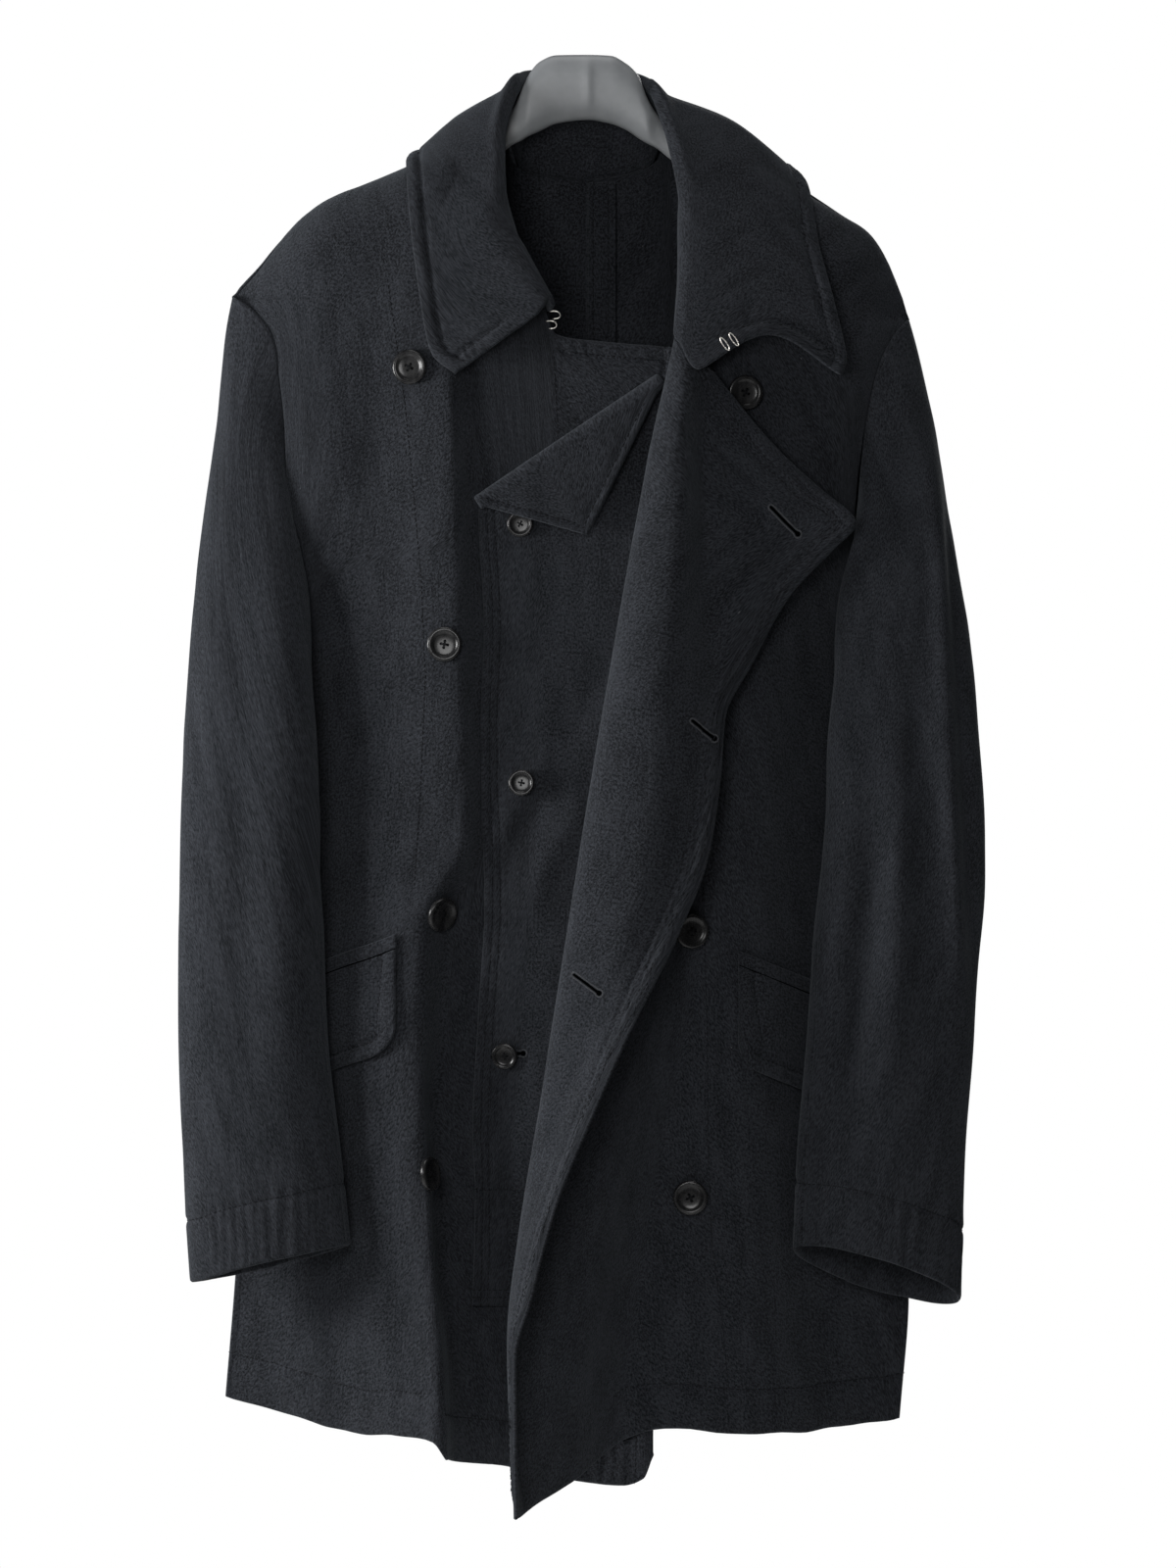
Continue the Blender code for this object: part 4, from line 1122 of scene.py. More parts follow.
@dataclass(frozen=True)
class WoolFinish:
    """Napped charcoal wool: fine mixed fibres, a matt face, a soft sheen and a little lint."""

    name: str
    dark: Triple = (0.0036, 0.0041, 0.0052)
    light: Triple = (0.0252, 0.0275, 0.0330)
    stops: Pair = (0.42, 0.58)
    tuft: Grain = Grain(660.0, 2.0, (1.0, 0.8, 1.0))
    fibre: Grain = Grain(1300.0, 3.0, (1.0, 0.8, 1.0))
    cloud: Grain = Grain(60.0, 2.0, (1.0, 0.4, 1.0))
    shares: Triple = (0.5, 0.35, 0.15)
    nap: float = 0.35
    crinkle: float = 1.0
    crinkles: Grain = Grain(165.0, 2.0, (1.0, 0.36, 1.0))
    lint: Triple = (0.16, 0.16, 0.165)
    lint_cells: float = 55.0
    lint_size: float = 0.016
    lint_patches: Grain = Grain(31.0, 0.0)
    lint_least: float = 0.60

    SHINE = {"Roughness": 0.92, "Specular IOR Level": 0.12, "Sheen Weight": 0.06, "Sheen Roughness": 0.5,
             "Sheen Tint": (0.80, 0.90, 1.0, 1.0)}

    def make(self) -> Material:
        """Build the material.

        Returns:
            The new material.
        """
        sheet = NodeSheet(self.name)
        cloth = sheet.add("ShaderNodeUVMap", uv_map="cloth").outputs["UV"]
        tuft, fibre, cloud = (sheet.noise(cloth, grain) for grain in (self.tuft, self.fibre, self.cloud))
        parts = [sheet.math("MULTIPLY", *part) for part in zip((tuft, fibre, cloud), self.shares)]
        blend = sheet.math("ADD", sheet.math("ADD", parts[0], parts[1]), parts[2])
        colour = sheet.ramp(blend, (self.stops[0], self.dark), (self.stops[1], self.light))
        cells = {"Vector": cloth, "Scale": self.lint_cells, "Randomness": 1.0}
        spots = sheet.add("ShaderNodeTexVoronoi", cells).outputs["Distance"]
        speck = sheet.math("LESS_THAN", spots, self.lint_size)
        chance = sheet.math("GREATER_THAN", sheet.noise(cloth, self.lint_patches), self.lint_least)
        colour = sheet.mix(sheet.math("MULTIPLY", speck, chance), colour, (*self.lint, 1.0))
        rough_face = sheet.bump(sheet.noise(cloth, self.crinkles), self.crinkle)
        napped = sheet.bump(sheet.math("ADD", fibre, tuft), self.nap, rough_face)
        sheet.fill(sheet.shader, {"Base Color": colour, "Normal": napped, **self.SHINE})
        return sheet.material


class Wear(Enum):
    """Which pattern the roughness of a finish follows."""

    NONE = "none"
    TONES = "tones"
    GRAIN = "grain"


@dataclass(frozen=True)
class ToneFinish:
    """A finish that wanders between two tones, with its own grain and worn places."""

    name: str
    dark: Triple
    light: Triple
    stops: Pair
    tones: Grain
    rough: float
    grain: Grain | None = None
    bump: float = 0.0
    wear: Wear = Wear.NONE
    wear_depth: float = 0.0
    shine: tuple[tuple[str, object], ...] = ()

    def make(self) -> Material:
        """Build the material.

        Returns:
            The new material.
        """
        sheet = NodeSheet(self.name)
        place = sheet.add("ShaderNodeTexCoord").outputs["Object"]
        tones = sheet.noise(place, self.tones)
        grain = sheet.noise(place, self.grain) if self.grain else tones
        colour = sheet.ramp(tones, (self.stops[0], self.dark), (self.stops[1], self.light))
        values: NodeValues = {"Base Color": colour, "Roughness": self.rough, **dict(self.shine)}
        if self.wear is not Wear.NONE:
            worn = sheet.math("MULTIPLY", tones if self.wear is Wear.TONES else grain, self.wear_depth)
            values["Roughness"] = sheet.math("ADD", worn, self.rough)
        if self.bump:
            values["Normal"] = sheet.bump(grain, self.bump)
        sheet.fill(sheet.shader, values)
        return sheet.material


# Finishes of the pieces, the floor, and the near-black sheets of painted shade in the buttonhole slits and
# pocket mouths
NAPPED_WOOL = WoolFinish("napped_wool")
SMOOTH_WOOL = WoolFinish("smooth_wool", crinkle=0.35)
BLACK_THREAD = ToneFinish(
    "black_thread", (0.0025, 0.0026, 0.0030), (0.0085, 0.0090, 0.0105), (0.35, 0.65), Grain(1900.0, 2.0),
    rough=0.8, bump=0.1, shine=(("Specular IOR Level", 0.1),))
BUTTONHOLE_THREAD = replace(
    BLACK_THREAD, name="buttonhole_thread", dark=(0.030, 0.032, 0.036), light=(0.085, 0.088, 0.096))
DARK_HORN = ToneFinish(
    "dark_horn", (0.0060, 0.0060, 0.0064), (0.0200, 0.0200, 0.0205), (0.4, 0.75),
    Grain(160.0, 4.0, (1.0, 1.0, 0.25)), rough=0.20, grain=Grain(900.0, 3.0), bump=0.03, wear=Wear.GRAIN,
    wear_depth=0.14, shine=(("Specular IOR Level", 0.22), ("Coat Weight", 0.1), ("Coat Roughness", 0.1)))
NICKEL_WIRE = ToneFinish(
    "nickel_wire", (0.42, 0.40, 0.37), (0.72, 0.70, 0.66), (0.3, 0.7), Grain(700.0, 3.0), rough=0.18,
    wear=Wear.TONES, wear_depth=0.25, shine=(("Metallic", 1.0),))
GREY_HANGER = ToneFinish(
    "grey_hanger", (0.150, 0.158, 0.165), (0.188, 0.197, 0.204), (0.35, 0.65), Grain(42.0, 3.0), rough=0.38,
    grain=Grain(2300.0, 2.0), bump=0.04, wear=Wear.TONES, wear_depth=0.12)
# Near-black colour of the sheets that stand for the shade inside buttonhole slits and pocket mouths: painted
# shade, not cloth
SLIT_PAINTED_SHADE = ToneFinish(
    "slit_painted_shade", (0.0006, 0.0006, 0.0006), (0.001, 0.001, 0.001), (0.3, 0.7), Grain(3.0, 2.0), rough=0.9,
    shine=(("Specular IOR Level", 0.0),))
PALE_FLOOR = replace(
    SLIT_PAINTED_SHADE, name="pale_floor", dark=(0.80, 0.80, 0.79), light=(0.86, 0.86, 0.85),
    shine=(("Specular IOR Level", 0.0), ("Emission Color", WHITE), ("Emission Strength", 0.12)))

# Places across a front in lines, or round a sleeve in radians, that a crease lies on
LEFT_MAIN = (0.0, 4.0)
SLEEVE_FRONT = (0.0, 3.2)
SLEEVE_OUTSIDE = (-0.6, 3.2)
SLEEVE_BACK = (-2.2, -0.2)

# Creases of each piece, drawn in the front view
RIGHT_FRONT_CREASES = (
    Crease(((-146, -150), (-136, -260), (-132, -430), (-132, -560)), 24.0, -4.5),
    Crease(((-194, -190), (-188, -330), (-184, -440), (-180, -600)), 38.0, 8.0),
    Crease(((-176, -520), (-174, -720), (-176, -1000)), 34.0, 11.0, taper=0.2),
    Crease(((-98, -630), (-95, -744), (-88, -880)), 12.0, -6.0),
    Crease(((-152, -700), (-146, -900)), 16.0, 1.5),
    Crease(((-122, -720), (-118, -915)), 12.0, -1.5),
    Crease(((-60, -640), (-62, -760), (-58, -905)), 10.0, 1.4),
    Crease(((-74, -590), (-73, -760), (-66, -1050)), 26.0, -9.0, taper=0.25),
    Crease(((-103, -690), (-101, -800), (-98, -1000)), 6.0, 2.5),
)
LEFT_FRONT_CREASES = (
    Crease(((150, -360), (136, -480), (128, -640)), 13.0, -2.0, between=LEFT_MAIN),
    Crease(((172, -330), (160, -430), (150, -560)), 12.0, 1.8, between=LEFT_MAIN),
    Crease(((100, -720), (106, -905)), 14.0, 1.6, between=LEFT_MAIN),
    Crease(((142, -730), (150, -900)), 16.0, -1.8, between=LEFT_MAIN),
    Crease(((73, -222), (65, -254), (56, -292)), 3.4, 1.5, between=(4.7, 7.4)),
    Crease(((100, -246), (124, -292), (134, -326)), 22.0, -6.0, between=(6.9, 9.0)),
    Crease(((77, -222), (76, -262), (78, -310), (72, -360)), 6.0, 3.0, between=(5.6, 8.0)),
    Crease(((44, -330), (28, -440), (10, -560)), 16.0, -1.8, between=(5.2, 7.0)),
    Crease(((20, -600), (-14, -700), (-34, -800)), 10.0, 1.6, between=(5.2, 7.6)),
)
FLAP_CREASES = (
    Crease(((-6, -462), (-43, -518), (-56, -544), (-64, -574)), 8.0, -1.6),
    Crease(((-26, -458), (-53, -508), (-65, -545)), 9.0, 2.4),
    Crease(((6, -484), (-30, -540), (-50, -592)), 10.0, 2.4),
    Crease(((20, -392), (-2, -440), (-30, -470)), 11.0, -1.6),
    Crease(((-20, -620), (-46, -670), (-62, -730)), 11.0, -1.6),
)
SLEEVE_LEFT_CREASES = (
    Crease(((222, -224), (229, -296), (234, -372), (238, -457), (241, -527), (245, -608), (247, -680)),
           6.5, 6.5, between=SLEEVE_OUTSIDE),
    Crease(((231, -215), (239, -296), (244, -372), (249, -457), (252, -527), (256, -608), (257, -680)),
           6.0, -3.4, between=SLEEVE_OUTSIDE),
    Crease(((191, -473), (188, -554), (181, -608), (175, -662), (171, -715), (172, -752)),
           11.0, -7.5, between=SLEEVE_FRONT),
    Crease(((206, -440), (204, -590), (197, -710)), 11.0, 4.5, between=SLEEVE_FRONT),
    Crease(((215, -380), (220, -520), (219, -660)), 9.0, -2.6, between=SLEEVE_FRONT),
    Crease(((250, -440), (226, -462), (200, -474)), 10.0, -3.0, between=SLEEVE_BACK),
    Crease(((252, -486), (228, -504), (198, -514)), 10.0, 2.8, between=SLEEVE_BACK),
    Crease(((214, -240), (226, -420), (222, -660)), 15.0, 3.0, between=SLEEVE_BACK),
)
SLEEVE_RIGHT_CREASES = (
    Crease(((-208, -240), (-206, -400), (-203, -560), (-200, -740)), 19.0, 4.2, between=SLEEVE_FRONT),
    Crease(((-232, -420), (-229, -560), (-224, -720)), 11.0, -1.8, between=SLEEVE_FRONT),
    Crease(((-256, -330), (-258, -480), (-252, -620)), 12.0, -1.2, between=SLEEVE_FRONT),
    Crease(((-262, -424), (-238, -448), (-210, -462)), 10.0, -3.0, between=SLEEVE_BACK),
    Crease(((-262, -470), (-236, -490), (-208, -502)), 10.0, 2.8, between=SLEEVE_BACK),
    Crease(((-228, -240), (-238, -420), (-232, -640)), 15.0, 3.0, between=SLEEVE_BACK),
)
BACK_CREASES = {
    "back_right": (
        Crease(((-168, -200), (-132, -280), (-98, -400)), 20.0, 3.4),
        Crease(((-150, -190), (-112, -262), (-76, -350)), 15.0, -3.0),
        Crease(((-64, -430), (-74, -660), (-82, -1060)), 24.0, -4.5),
        Crease(((-136, -470), (-146, -700), (-150, -1060)), 26.0, 4.5),
        Crease(((-24, -560), (-30, -760), (-34, -1060)), 16.0, 2.4)),
    "back_left": (
        Crease(((170, -215), (138, -290), (104, -420)), 20.0, 3.2),
        Crease(((146, -200), (114, -270), (84, -350)), 15.0, -2.8),
        Crease(((80, -410), (90, -640), (94, -1060)), 24.0, -4.0),
        Crease(((150, -500), (158, -720), (162, -1060)), 24.0, 4.2),
        Crease(((36, -520), (44, -740), (42, -1060)), 18.0, 2.6)),
}
COLLAR_CREASES = (
    Crease(((101, -180), (106, -170), (112, -157)), 4.0, -1.6),
)

# Where stitch rows lie on the fronts, drawn in the front view
FACING_RIGHT = ((-133, -152), (-122, -234), (-116, -296), (-111, -349), (-108, -415), (-111, -486),
                (-115, -552))
FACING_LEFT = ((76, -540), (77, -581), (79, -648), (80, -734), (82, -789), (86, -819), (90, -850), (93, -885))
UNDERLAP_SEAM = ((-23, -199), (-20, -252))
HEM_INSET = 29.0
EDGE_INSET = 9.0
EDGE_ROWS = (9.5, 14.0)
STITCH_LIFT = 0.05
PATH_STEP = 3.0


class Body:
    """Fronts, backs and the felled band inside the centre back."""

    BAND_FIRST = 0.8
    BAND_WIDTH = 18.0
    BAND_WALL = 1.2
    BAND_COLUMNS = 14
    BAND_EDGE = 1.8
    BAND_ROWS = 230
    BAND_INSETS = (2.0, 3.0)
    BAND_LINES = (2.0, 3.0)
    HEM_WAVE = 1.1
    UNDERLAP_FROM = 5.15
    MAIN_HEM_TO = 3.2
    RIGHT_CALM = (0.5, 3.3, 0.6)
    LEFT_CALM = (0.6, 4.4, 0.8)

    def __init__(self) -> None:
        """Set out the four panels."""
        right_front = Panel(
            "right_front", RIGHT, Facing.FRONT,
            (RIGHT_UNDER_SLEEVE, RIGHT_CHEST, RIGHT_RIDGE, RIGHT_HOLLOW, RIGHT_UNDERLAP, RIGHT_EDGE),
            RIGHT_TOPS, RIGHT_HEMS, spans=(16, 13, 13, 11, 20, 34), rows=185, turned=False)
        left_front = Panel(
            "left_front", LEFT, Facing.FRONT,
            (LEFT_UNDER_SLEEVE, LEFT_CHEST, LEFT_NECK, LEFT_STEP, LEFT_FOLD, LEFT_CREST, LEFT_VALLEY,
             LEFT_EDGE),
            LEFT_TOPS, LEFT_HEMS, spans=(16, 13, 13, 10, 11, 14, 13, 17), rows=190, turned=True)
        back_right = Panel(
            "back_right", RIGHT, Facing.BACK, (BACK_BLADE_RIGHT, BACK_NECK_RIGHT, BACK_CENTRE_RIGHT),
            BACK_TOPS_RIGHT, BACK_HEMS_RIGHT, spans=(20, 13, 12), rows=140, turned=True)
        back_left = Panel(
            "back_left", LEFT, Facing.BACK, (BACK_BLADE_LEFT, BACK_NECK_LEFT, BACK_CENTRE_LEFT),
            BACK_TOPS_LEFT, BACK_HEMS_LEFT, spans=(20, 13, 12), rows=140, turned=False)
        self.panels = {panel.name: panel for panel in (right_front, left_front, back_right, back_left)}
        self.pieces: dict[str, ClothPiece] = {}

    def layers(self, panel: Panel) -> Array:
        """Places across a panel's grid, counted in lines, in the order of its columns."""
        places = panel.columns()
        return (places[::-1] if panel.turned else places)[None, :]

    def share(self, panel: Panel, s: float) -> float:
        """Share of a panel's columns that lie before a line.

        Args:
            panel: the panel.
            s: the line, counted from the side seam.

        Returns:
            The share, counted from the grid's first column.
        """
        count = len(panel.columns())
        share = float(np.interp(s, panel.columns(), np.arange(count))) / (count - 1)
        return 1.0 - share if panel.turned else share

    def calm(self, panel: Panel, sizes: Triple) -> Array:
        """Drape that a panel keeps, from the share it loses, the line where that starts and its width."""
        lost, first, width = sizes
        return 1.0 - lost * soft_step((self.layers(panel) - first) / width)

    def cut(self) -> None:
        """Shape the cloth of every panel."""
        hem = Topstitch(Edge.BOTTOM, HEM_INSET, pucker=0.7, pitch=11.0, dent=0.9, puff=0.5)
        panel = self.panels["right_front"]
        underlap = (self.share(panel, self.UNDERLAP_FROM), 1.0)
        self.pieces["right_front"] = ClothPiece(
            "right_front_cloth", panel.grid(), WALL, Drape(1.0, 0.42, seed=11), flat=(0.38, 0.92), cut=0.245,
            creases=RIGHT_FRONT_CREASES,
            rows_of_stitches=(hem, Topstitch(Edge.TOP, EDGE_INSET, underlap, pucker=1.0, pitch=6.6, dent=1.3),
                              Topstitch(Edge.RIGHT, EDGE_INSET)),
            calm=self.calm(panel, self.RIGHT_CALM), layers=self.layers(panel), hem_wave=self.HEM_WAVE)
        panel = self.panels["left_front"]
        free_edge = (Topstitch(Edge.LEFT, inset, (0.03, 0.97), True, pucker=0.6, dent=1.2)
                     for inset in EDGE_ROWS)
        main_hem = replace(hem, span=(self.share(panel, self.MAIN_HEM_TO), 1.0))
        self.pieces["left_front"] = ClothPiece(
            "left_front_cloth", panel.grid(), WALL, Drape(1.0, 0.42, seed=12), flat=(0.46, 0.93), cut=0.25,
            creases=LEFT_FRONT_CREASES, rows_of_stitches=(main_hem, *free_edge),
            calm=self.calm(panel, self.LEFT_CALM), layers=self.layers(panel), hem_wave=self.HEM_WAVE)
        back_hem = Topstitch(Edge.BOTTOM, HEM_INSET, pucker=0.25, pitch=13.0, dent=0.7, puff=0.3)
        for name, seed in (("back_right", 13), ("back_left", 14)):
            panel = self.panels[name]
            seam = Topstitch(Edge.LEFT if panel.turned else Edge.RIGHT, 6.0, pucker=0.4, pitch=9.0)
            self.pieces[name] = ClothPiece(
                f"{name}_cloth", panel.grid(), WALL, Drape(1.6, 0.42, seed), flat=(0.26, 0.88), cut=0.185,
                creases=BACK_CREASES[name], rows_of_stitches=(back_hem, seam), hem_wave=self.HEM_WAVE)

    def build_band(self, finish: Material) -> Object:
        """Felled allowance of the centre back seam, lying on the inside of the left back.

        Args:
            finish: the cloth's material.

        Returns:
            The new object.
        """
        panel = self.panels["back_left"]
        x = np.linspace(self.BAND_FIRST, self.BAND_WIDTH, self.BAND_COLUMNS)
        top = BACK_TOPS_LEFT.rows[-1, 1] - self.BAND_INSETS[0]
        hem = BACK_HEMS_LEFT.rows[-1, 1] + self.BAND_INSETS[1]
        z = np.linspace(top, hem, self.BAND_ROWS)
        grid = panel.at_x(x[None, :], z[:, None], *self.BAND_LINES)
        edge = np.linspace(0.0, 1.0, self.BAND_COLUMNS) ** 3
        grid[..., 1] -= WALL + LAY_GAP + self.BAND_WALL + self.BAND_EDGE * edge
        rows = (Topstitch(Edge.RIGHT, 5.0, pucker=0.6, pitch=9.0, dent=1.2),
                Topstitch(Edge.LEFT, 3.0, pucker=1.1, pitch=7.0, dent=1.0))
        band = ClothPiece("back_seam_band_cloth", grid, self.BAND_WALL, Drape(0.3, 0.2, seed=15),
                          flat=(0.018, 0.82), cut=0.0146, rows_of_stitches=rows, edge_round=0.5)
        self.pieces["back_seam_band"] = band
        return band.build(finish, "back_seam_band")

    def build(self, finish: Material) -> None:
        """Make the panels and the band.

        Args:
            finish: the cloth's material.
        """
        self.cut()
        for name, piece in list(self.pieces.items()):
            piece.build(finish, name)
        self.build_band(finish)

    def lay(self, name: str, x: Array, z: Array, lines: Pair, lift: float = 0.0) -> Array:
        """Points of the front view on a panel's finished cloth between two lines, lifted off its face."""
        rows, columns = self.panels[name].cells(x, z, lines[0], lines[1])
        return self.pieces[name].surface.at(rows, columns, lift)

    def lay_path(self, name: str, path: Path2, lines: Pair) -> Array:
        """A path of the front view for stitches on a panel's finished cloth, between two of its lines."""
        x, z = spaced(np.array(path, float), PATH_STEP).T
        return self.lay(name, x, z, lines, STITCH_LIFT)

    def stitch_paths(self) -> list[Array]:
        """Every row of stitches on the panels.

        Returns:
            One path for each row.
        """
        paths = [path for piece in self.pieces.values() for path in piece.stitch_paths(STITCH_LIFT)]
        for name, path, lines in (("right_front", FACING_RIGHT, (0.0, 4.0)),
                                  ("right_front", UNDERLAP_SEAM, (4.0, 6.0)),
                                  ("left_front", FACING_LEFT, LEFT_MAIN)):
            paths.append(self.lay_path(name, path, lines))
        return paths


@dataclass
class Sleeve:
    """A two-piece sleeve, fitted to its armhole, with a stitched cuff."""

    label: str
    side: Side
    rings: SizeTable
    mirrored: bool
    creases: tuple[Crease, ...]
    cuff_drop: float
    cuff_lift: float
    seed: int
    rows: int = 130
    cuff_rows: int = 30
    cuff_rings: float = 0.62
    upper_columns: int = 108
    under_columns: int = 30
    front_seam: float = 0.87 * math.pi
    back_seam: float = -0.62 * math.pi
    fold_turns: Pair = (0.3 * math.pi, 1.08 * math.pi)
    head_rings: float = 2.5
    head_away: float = 0.3
    head_tuck: float = 0.5
    cuff_depth: float = 40.0
    cuff_reach: float = 1.5
    hem_wave: float = 0.9

    def tube(self, ring: Array, turn: Array) -> Array:
        """Point of the sleeve's tube before it is fitted to the armhole.

        Args:
            ring: place down the sleeve, counted in rings.
            turn: angle from the outer end round the front.

        Returns:
            Points in millimetres.
        """
        outer = 0.5 * (1.0 + np.cos(turn))

        def mix(axis: str) -> Array:
            """Size between a ring's inner and outer ends."""
            inner, far = self.rings.at(f"{axis}_in", ring), self.rings.at(f"{axis}_out", ring)
            return inner * (1 - outer) + far * outer

        y = mix("y") - self.rings.at("depth", ring) * np.sin(turn)
        last = self.rings.rows[-1, 0]
        tilt = 0.5 * self.cuff_drop * (1.0 - np.sin(turn)) - self.cuff_lift
        drop = tilt * soft_step((ring - last + self.cuff_reach) / self.cuff_reach)
        return np.stack([mix("x"), y, mix("z") - drop], axis=-1)

    def point(self, ring: Array, turn: Array) -> Array:
        """Point of the sleeve's outer face, fitted to the armhole.

        Args:
            ring: place down the sleeve, counted in rings.
            turn: angle from the outer end round the front.

        Returns:
            Points in millimetres.
        """
        ring, turn = np.broadcast_arrays(ring, turn)
        head = np.clip(1.0 - ring / self.head_rings, 0.0, 1.0)[..., None] ** 2
        armhole = self.side.armhole_loop(turn, self.head_away, self.head_tuck)
        fitted = self.tube(ring, turn) + (armhole - self.tube(np.zeros_like(ring), turn)) * head
        return fitted + self.fold(ring, turn)

    def fold(self, ring: Array, turn: Array) -> Array:
        """How far the sleeve's front hangs in over the body, in front of the armhole.

        Args:
            ring: place down the sleeve, counted in rings.
            turn: angle from the outer end round the front.

        Returns:
            Moves in millimetres.
        """
        first, last = self.fold_turns
        bulge = np.sin(math.pi * np.clip((turn - first) / (last - first), 0.0, 1.0)) ** 2
        inward = -np.sign(self.rings.at("x_in", ring)) * SLEEVE_FOLD.at("inward", ring)
        return np.stack([inward * bulge, -SLEEVE_FOLD.at("forward", ring) * bulge, 0.0 * bulge], axis=-1)

    def build(self, finish: Material) -> list[Array]:
        """Make the upper and under sleeve.

        Args:
            finish: the cloth's material.

        Returns:
            The paths of their stitches.
        """
        last = self.rings.rows[-1, 0]
        rings = np.concatenate([np.linspace(0.0, last - self.cuff_rings, self.rows, endpoint=False),
                                np.linspace(last - self.cuff_rings, last, self.cuff_rows)])
        upper = np.linspace(self.back_seam, self.front_seam, self.upper_columns)
        under = np.linspace(self.front_seam, 2.0 * math.pi + self.back_seam, self.under_columns)
        cuff = Topstitch(Edge.BOTTOM, self.cuff_depth, pucker=0.7, pitch=8.0, dent=1.2, puff=0.0,
                         seed=self.seed)
        paths = []
        for part, turns, flat, cut, seed in (("upper", upper, (0.2, 0.67), 0.108, self.seed),
                                             ("under", under, (0.075, 0.5), 0.0255, self.seed + 1)):
            grid = self.point(rings[:, None], turns[None, :])
            layers = turns[None, :]
            if self.mirrored:
                grid = grid[:, ::-1]
                layers = layers[:, ::-1]
            piece = ClothPiece(f"sleeve_{self.label}_{part}_cloth", grid, WALL, Drape(1.1, 0.5, seed), flat,
                               cut, self.creases if part == "upper" else (), (cuff,), layers=layers,
                               hem_wave=self.hem_wave)
            piece.build(finish, f"sleeve_{self.label}_{part}")
            paths.extend(piece.stitch_paths(STITCH_LIFT))
        return paths


class Collar:
    """Stand, roll and fall of the collar in one sheet."""

    STATIONS = 310
    PLACE_COUNTS = (12, 7, 7, 14, 30)
    FALL_PLACE = 3.0
    BACK_FIRST = 4.5
    BACK_LAST = 9.5
    ROLL_WIDTH = 11.5
    FADE = 8.0
    SEAM_LIFT = 1.0
    FRONT_LIFT = 1.0
    FRONT_DEPTH = 30.0
    LEAN = 0.6
    CREST = 3.5
    CREST_DIP = 0.6
    STAND_DROP = 2.0
    FALL_DROP = 4.0
    FALL_EASE = 0.06
    CLEARANCE = DOUBLE_WALL + LAY_GAP + 0.6
    LIES_ON = (("right_front", 5.0), ("left_front", 4.5), ("back_right", 3.0), ("back_left", 3.0))
    END_SPAN = (0.5, 0.9)
    EDGE_SPAN = (0.012, 0.988)

    def __init__(self, body: Body) -> None:
        """Keep the body that the collar is sewn to."""
        self.panels = body.panels

    def neckline(self, stations: Array) -> Array:
        """Points of the panels' neckline.

        Args:
            stations: places along the collar, counted in stations.

        Returns:
            Points in millimetres.
        """
        points = np.zeros((len(stations), 3))
        keys, places = COLLAR.rows[:, 0], COLLAR.rows[:, 1]
        middle = 0.5 * keys[-1]
        on_back = (keys > self.BACK_FIRST) & (keys < self.BACK_LAST)
        for name, first, last, used in (("right_front", -1.0, self.BACK_FIRST, keys < self.BACK_FIRST),
                                        ("back_right", self.BACK_FIRST, middle, on_back),
                                        ("back_left", middle, self.BACK_LAST, on_back),
                                        ("left_front", self.BACK_LAST, keys[-1], keys > self.BACK_LAST)):
            here = (stations > first) & (stations <= last)
            panel = self.panels[name]
            place = np.interp(stations[here], keys[used], places[used])
            points[here] = panel.point(place, panel.top(place))
        return points

    def clear_of_body(self, points: Array) -> Array:
        """Points moved out where they come too close to the fronts or backs.

        Args:
            points: points of the fall.

        Returns:
            The points after the move.
        """
        x, y, z = np.moveaxis(points, -1, 0)
        below = z - self.CLEARANCE
        moved = y.copy()
        for name, last in self.LIES_ON:
            panel = self.panels[name]
            facing = panel.facing.value
            place = panel.place(x, below, 0.0, last)
            cover = np.clip((panel.top(place) - below) / self.FADE, 0.0, 1.0)
            limit = panel.point(place, below)[..., 1] + facing * self.CLEARANCE
            short = np.maximum(facing * (limit - y), 0.0) * facing * np.sqrt(cover)
            mine = (facing * y >= 0.0) & ((x > 0.0) == (panel.side is LEFT)) & (cover > 0.0)
            moved = np.where(mine, y + short, moved)
        return np.stack([x, moved, z], axis=-1)

    def grid(self) -> Array:
        """Points of the collar's outer face: rows from the neck seam over the roll to the edge.

        Returns:
            The grid of points.
        """
        stations = np.linspace(0.0, COLLAR.rows[-1, 0], self.STATIONS)
        up = np.array([0.0, 0.0, 1.0])

        def line(suffix: str) -> Array:
            """One of the collar's drawn lines."""
            return np.stack([COLLAR.at(axis + suffix, stations) for axis in "xyz"], axis=-1)

        roll, edge, neck = line("r"), line("e"), self.neckline(stations)
        away = neck * np.array([1.0, 1.0, 0.0])
        away /= length_of(away)
        forward = np.clip(-neck[:, 1:2] / self.FRONT_DEPTH, 0.0, 1.0)
        inward = np.sign(-neck) * np.array([1.0, 0.0, 0.0]) * forward + up * (1.0 - self.LEAN * forward)
        seam = neck - away * WALL + inward * (self.SEAM_LIFT + self.FRONT_LIFT * forward)
        dip = up * COLLAR.at("dip", stations)[:, None]
        crest = roll + away * 0.5 * self.ROLL_WIDTH + up * self.CREST + dip * self.CREST_DIP
        outer = roll + away * self.ROLL_WIDTH - up * self.FALL_DROP
        outer += self.FALL_EASE * (edge - outer) + dip
        middle = 0.5 * (outer + edge) + up * COLLAR.at("rise", stations)[:, None]
        profile = [seam, roll - up * self.STAND_DROP, crest, outer, middle, edge]
        places = [k + i / count for k, count in enumerate(self.PLACE_COUNTS) for i in range(count)]
        places.append(float(len(self.PLACE_COUNTS)))
        grid = np.stack([through(profile, np.full(len(stations), place)) for place in places])
        fall = places.index(self.FALL_PLACE)
        grid[fall:] = self.clear_of_body(grid[fall:])
        return grid[:, ::-1]

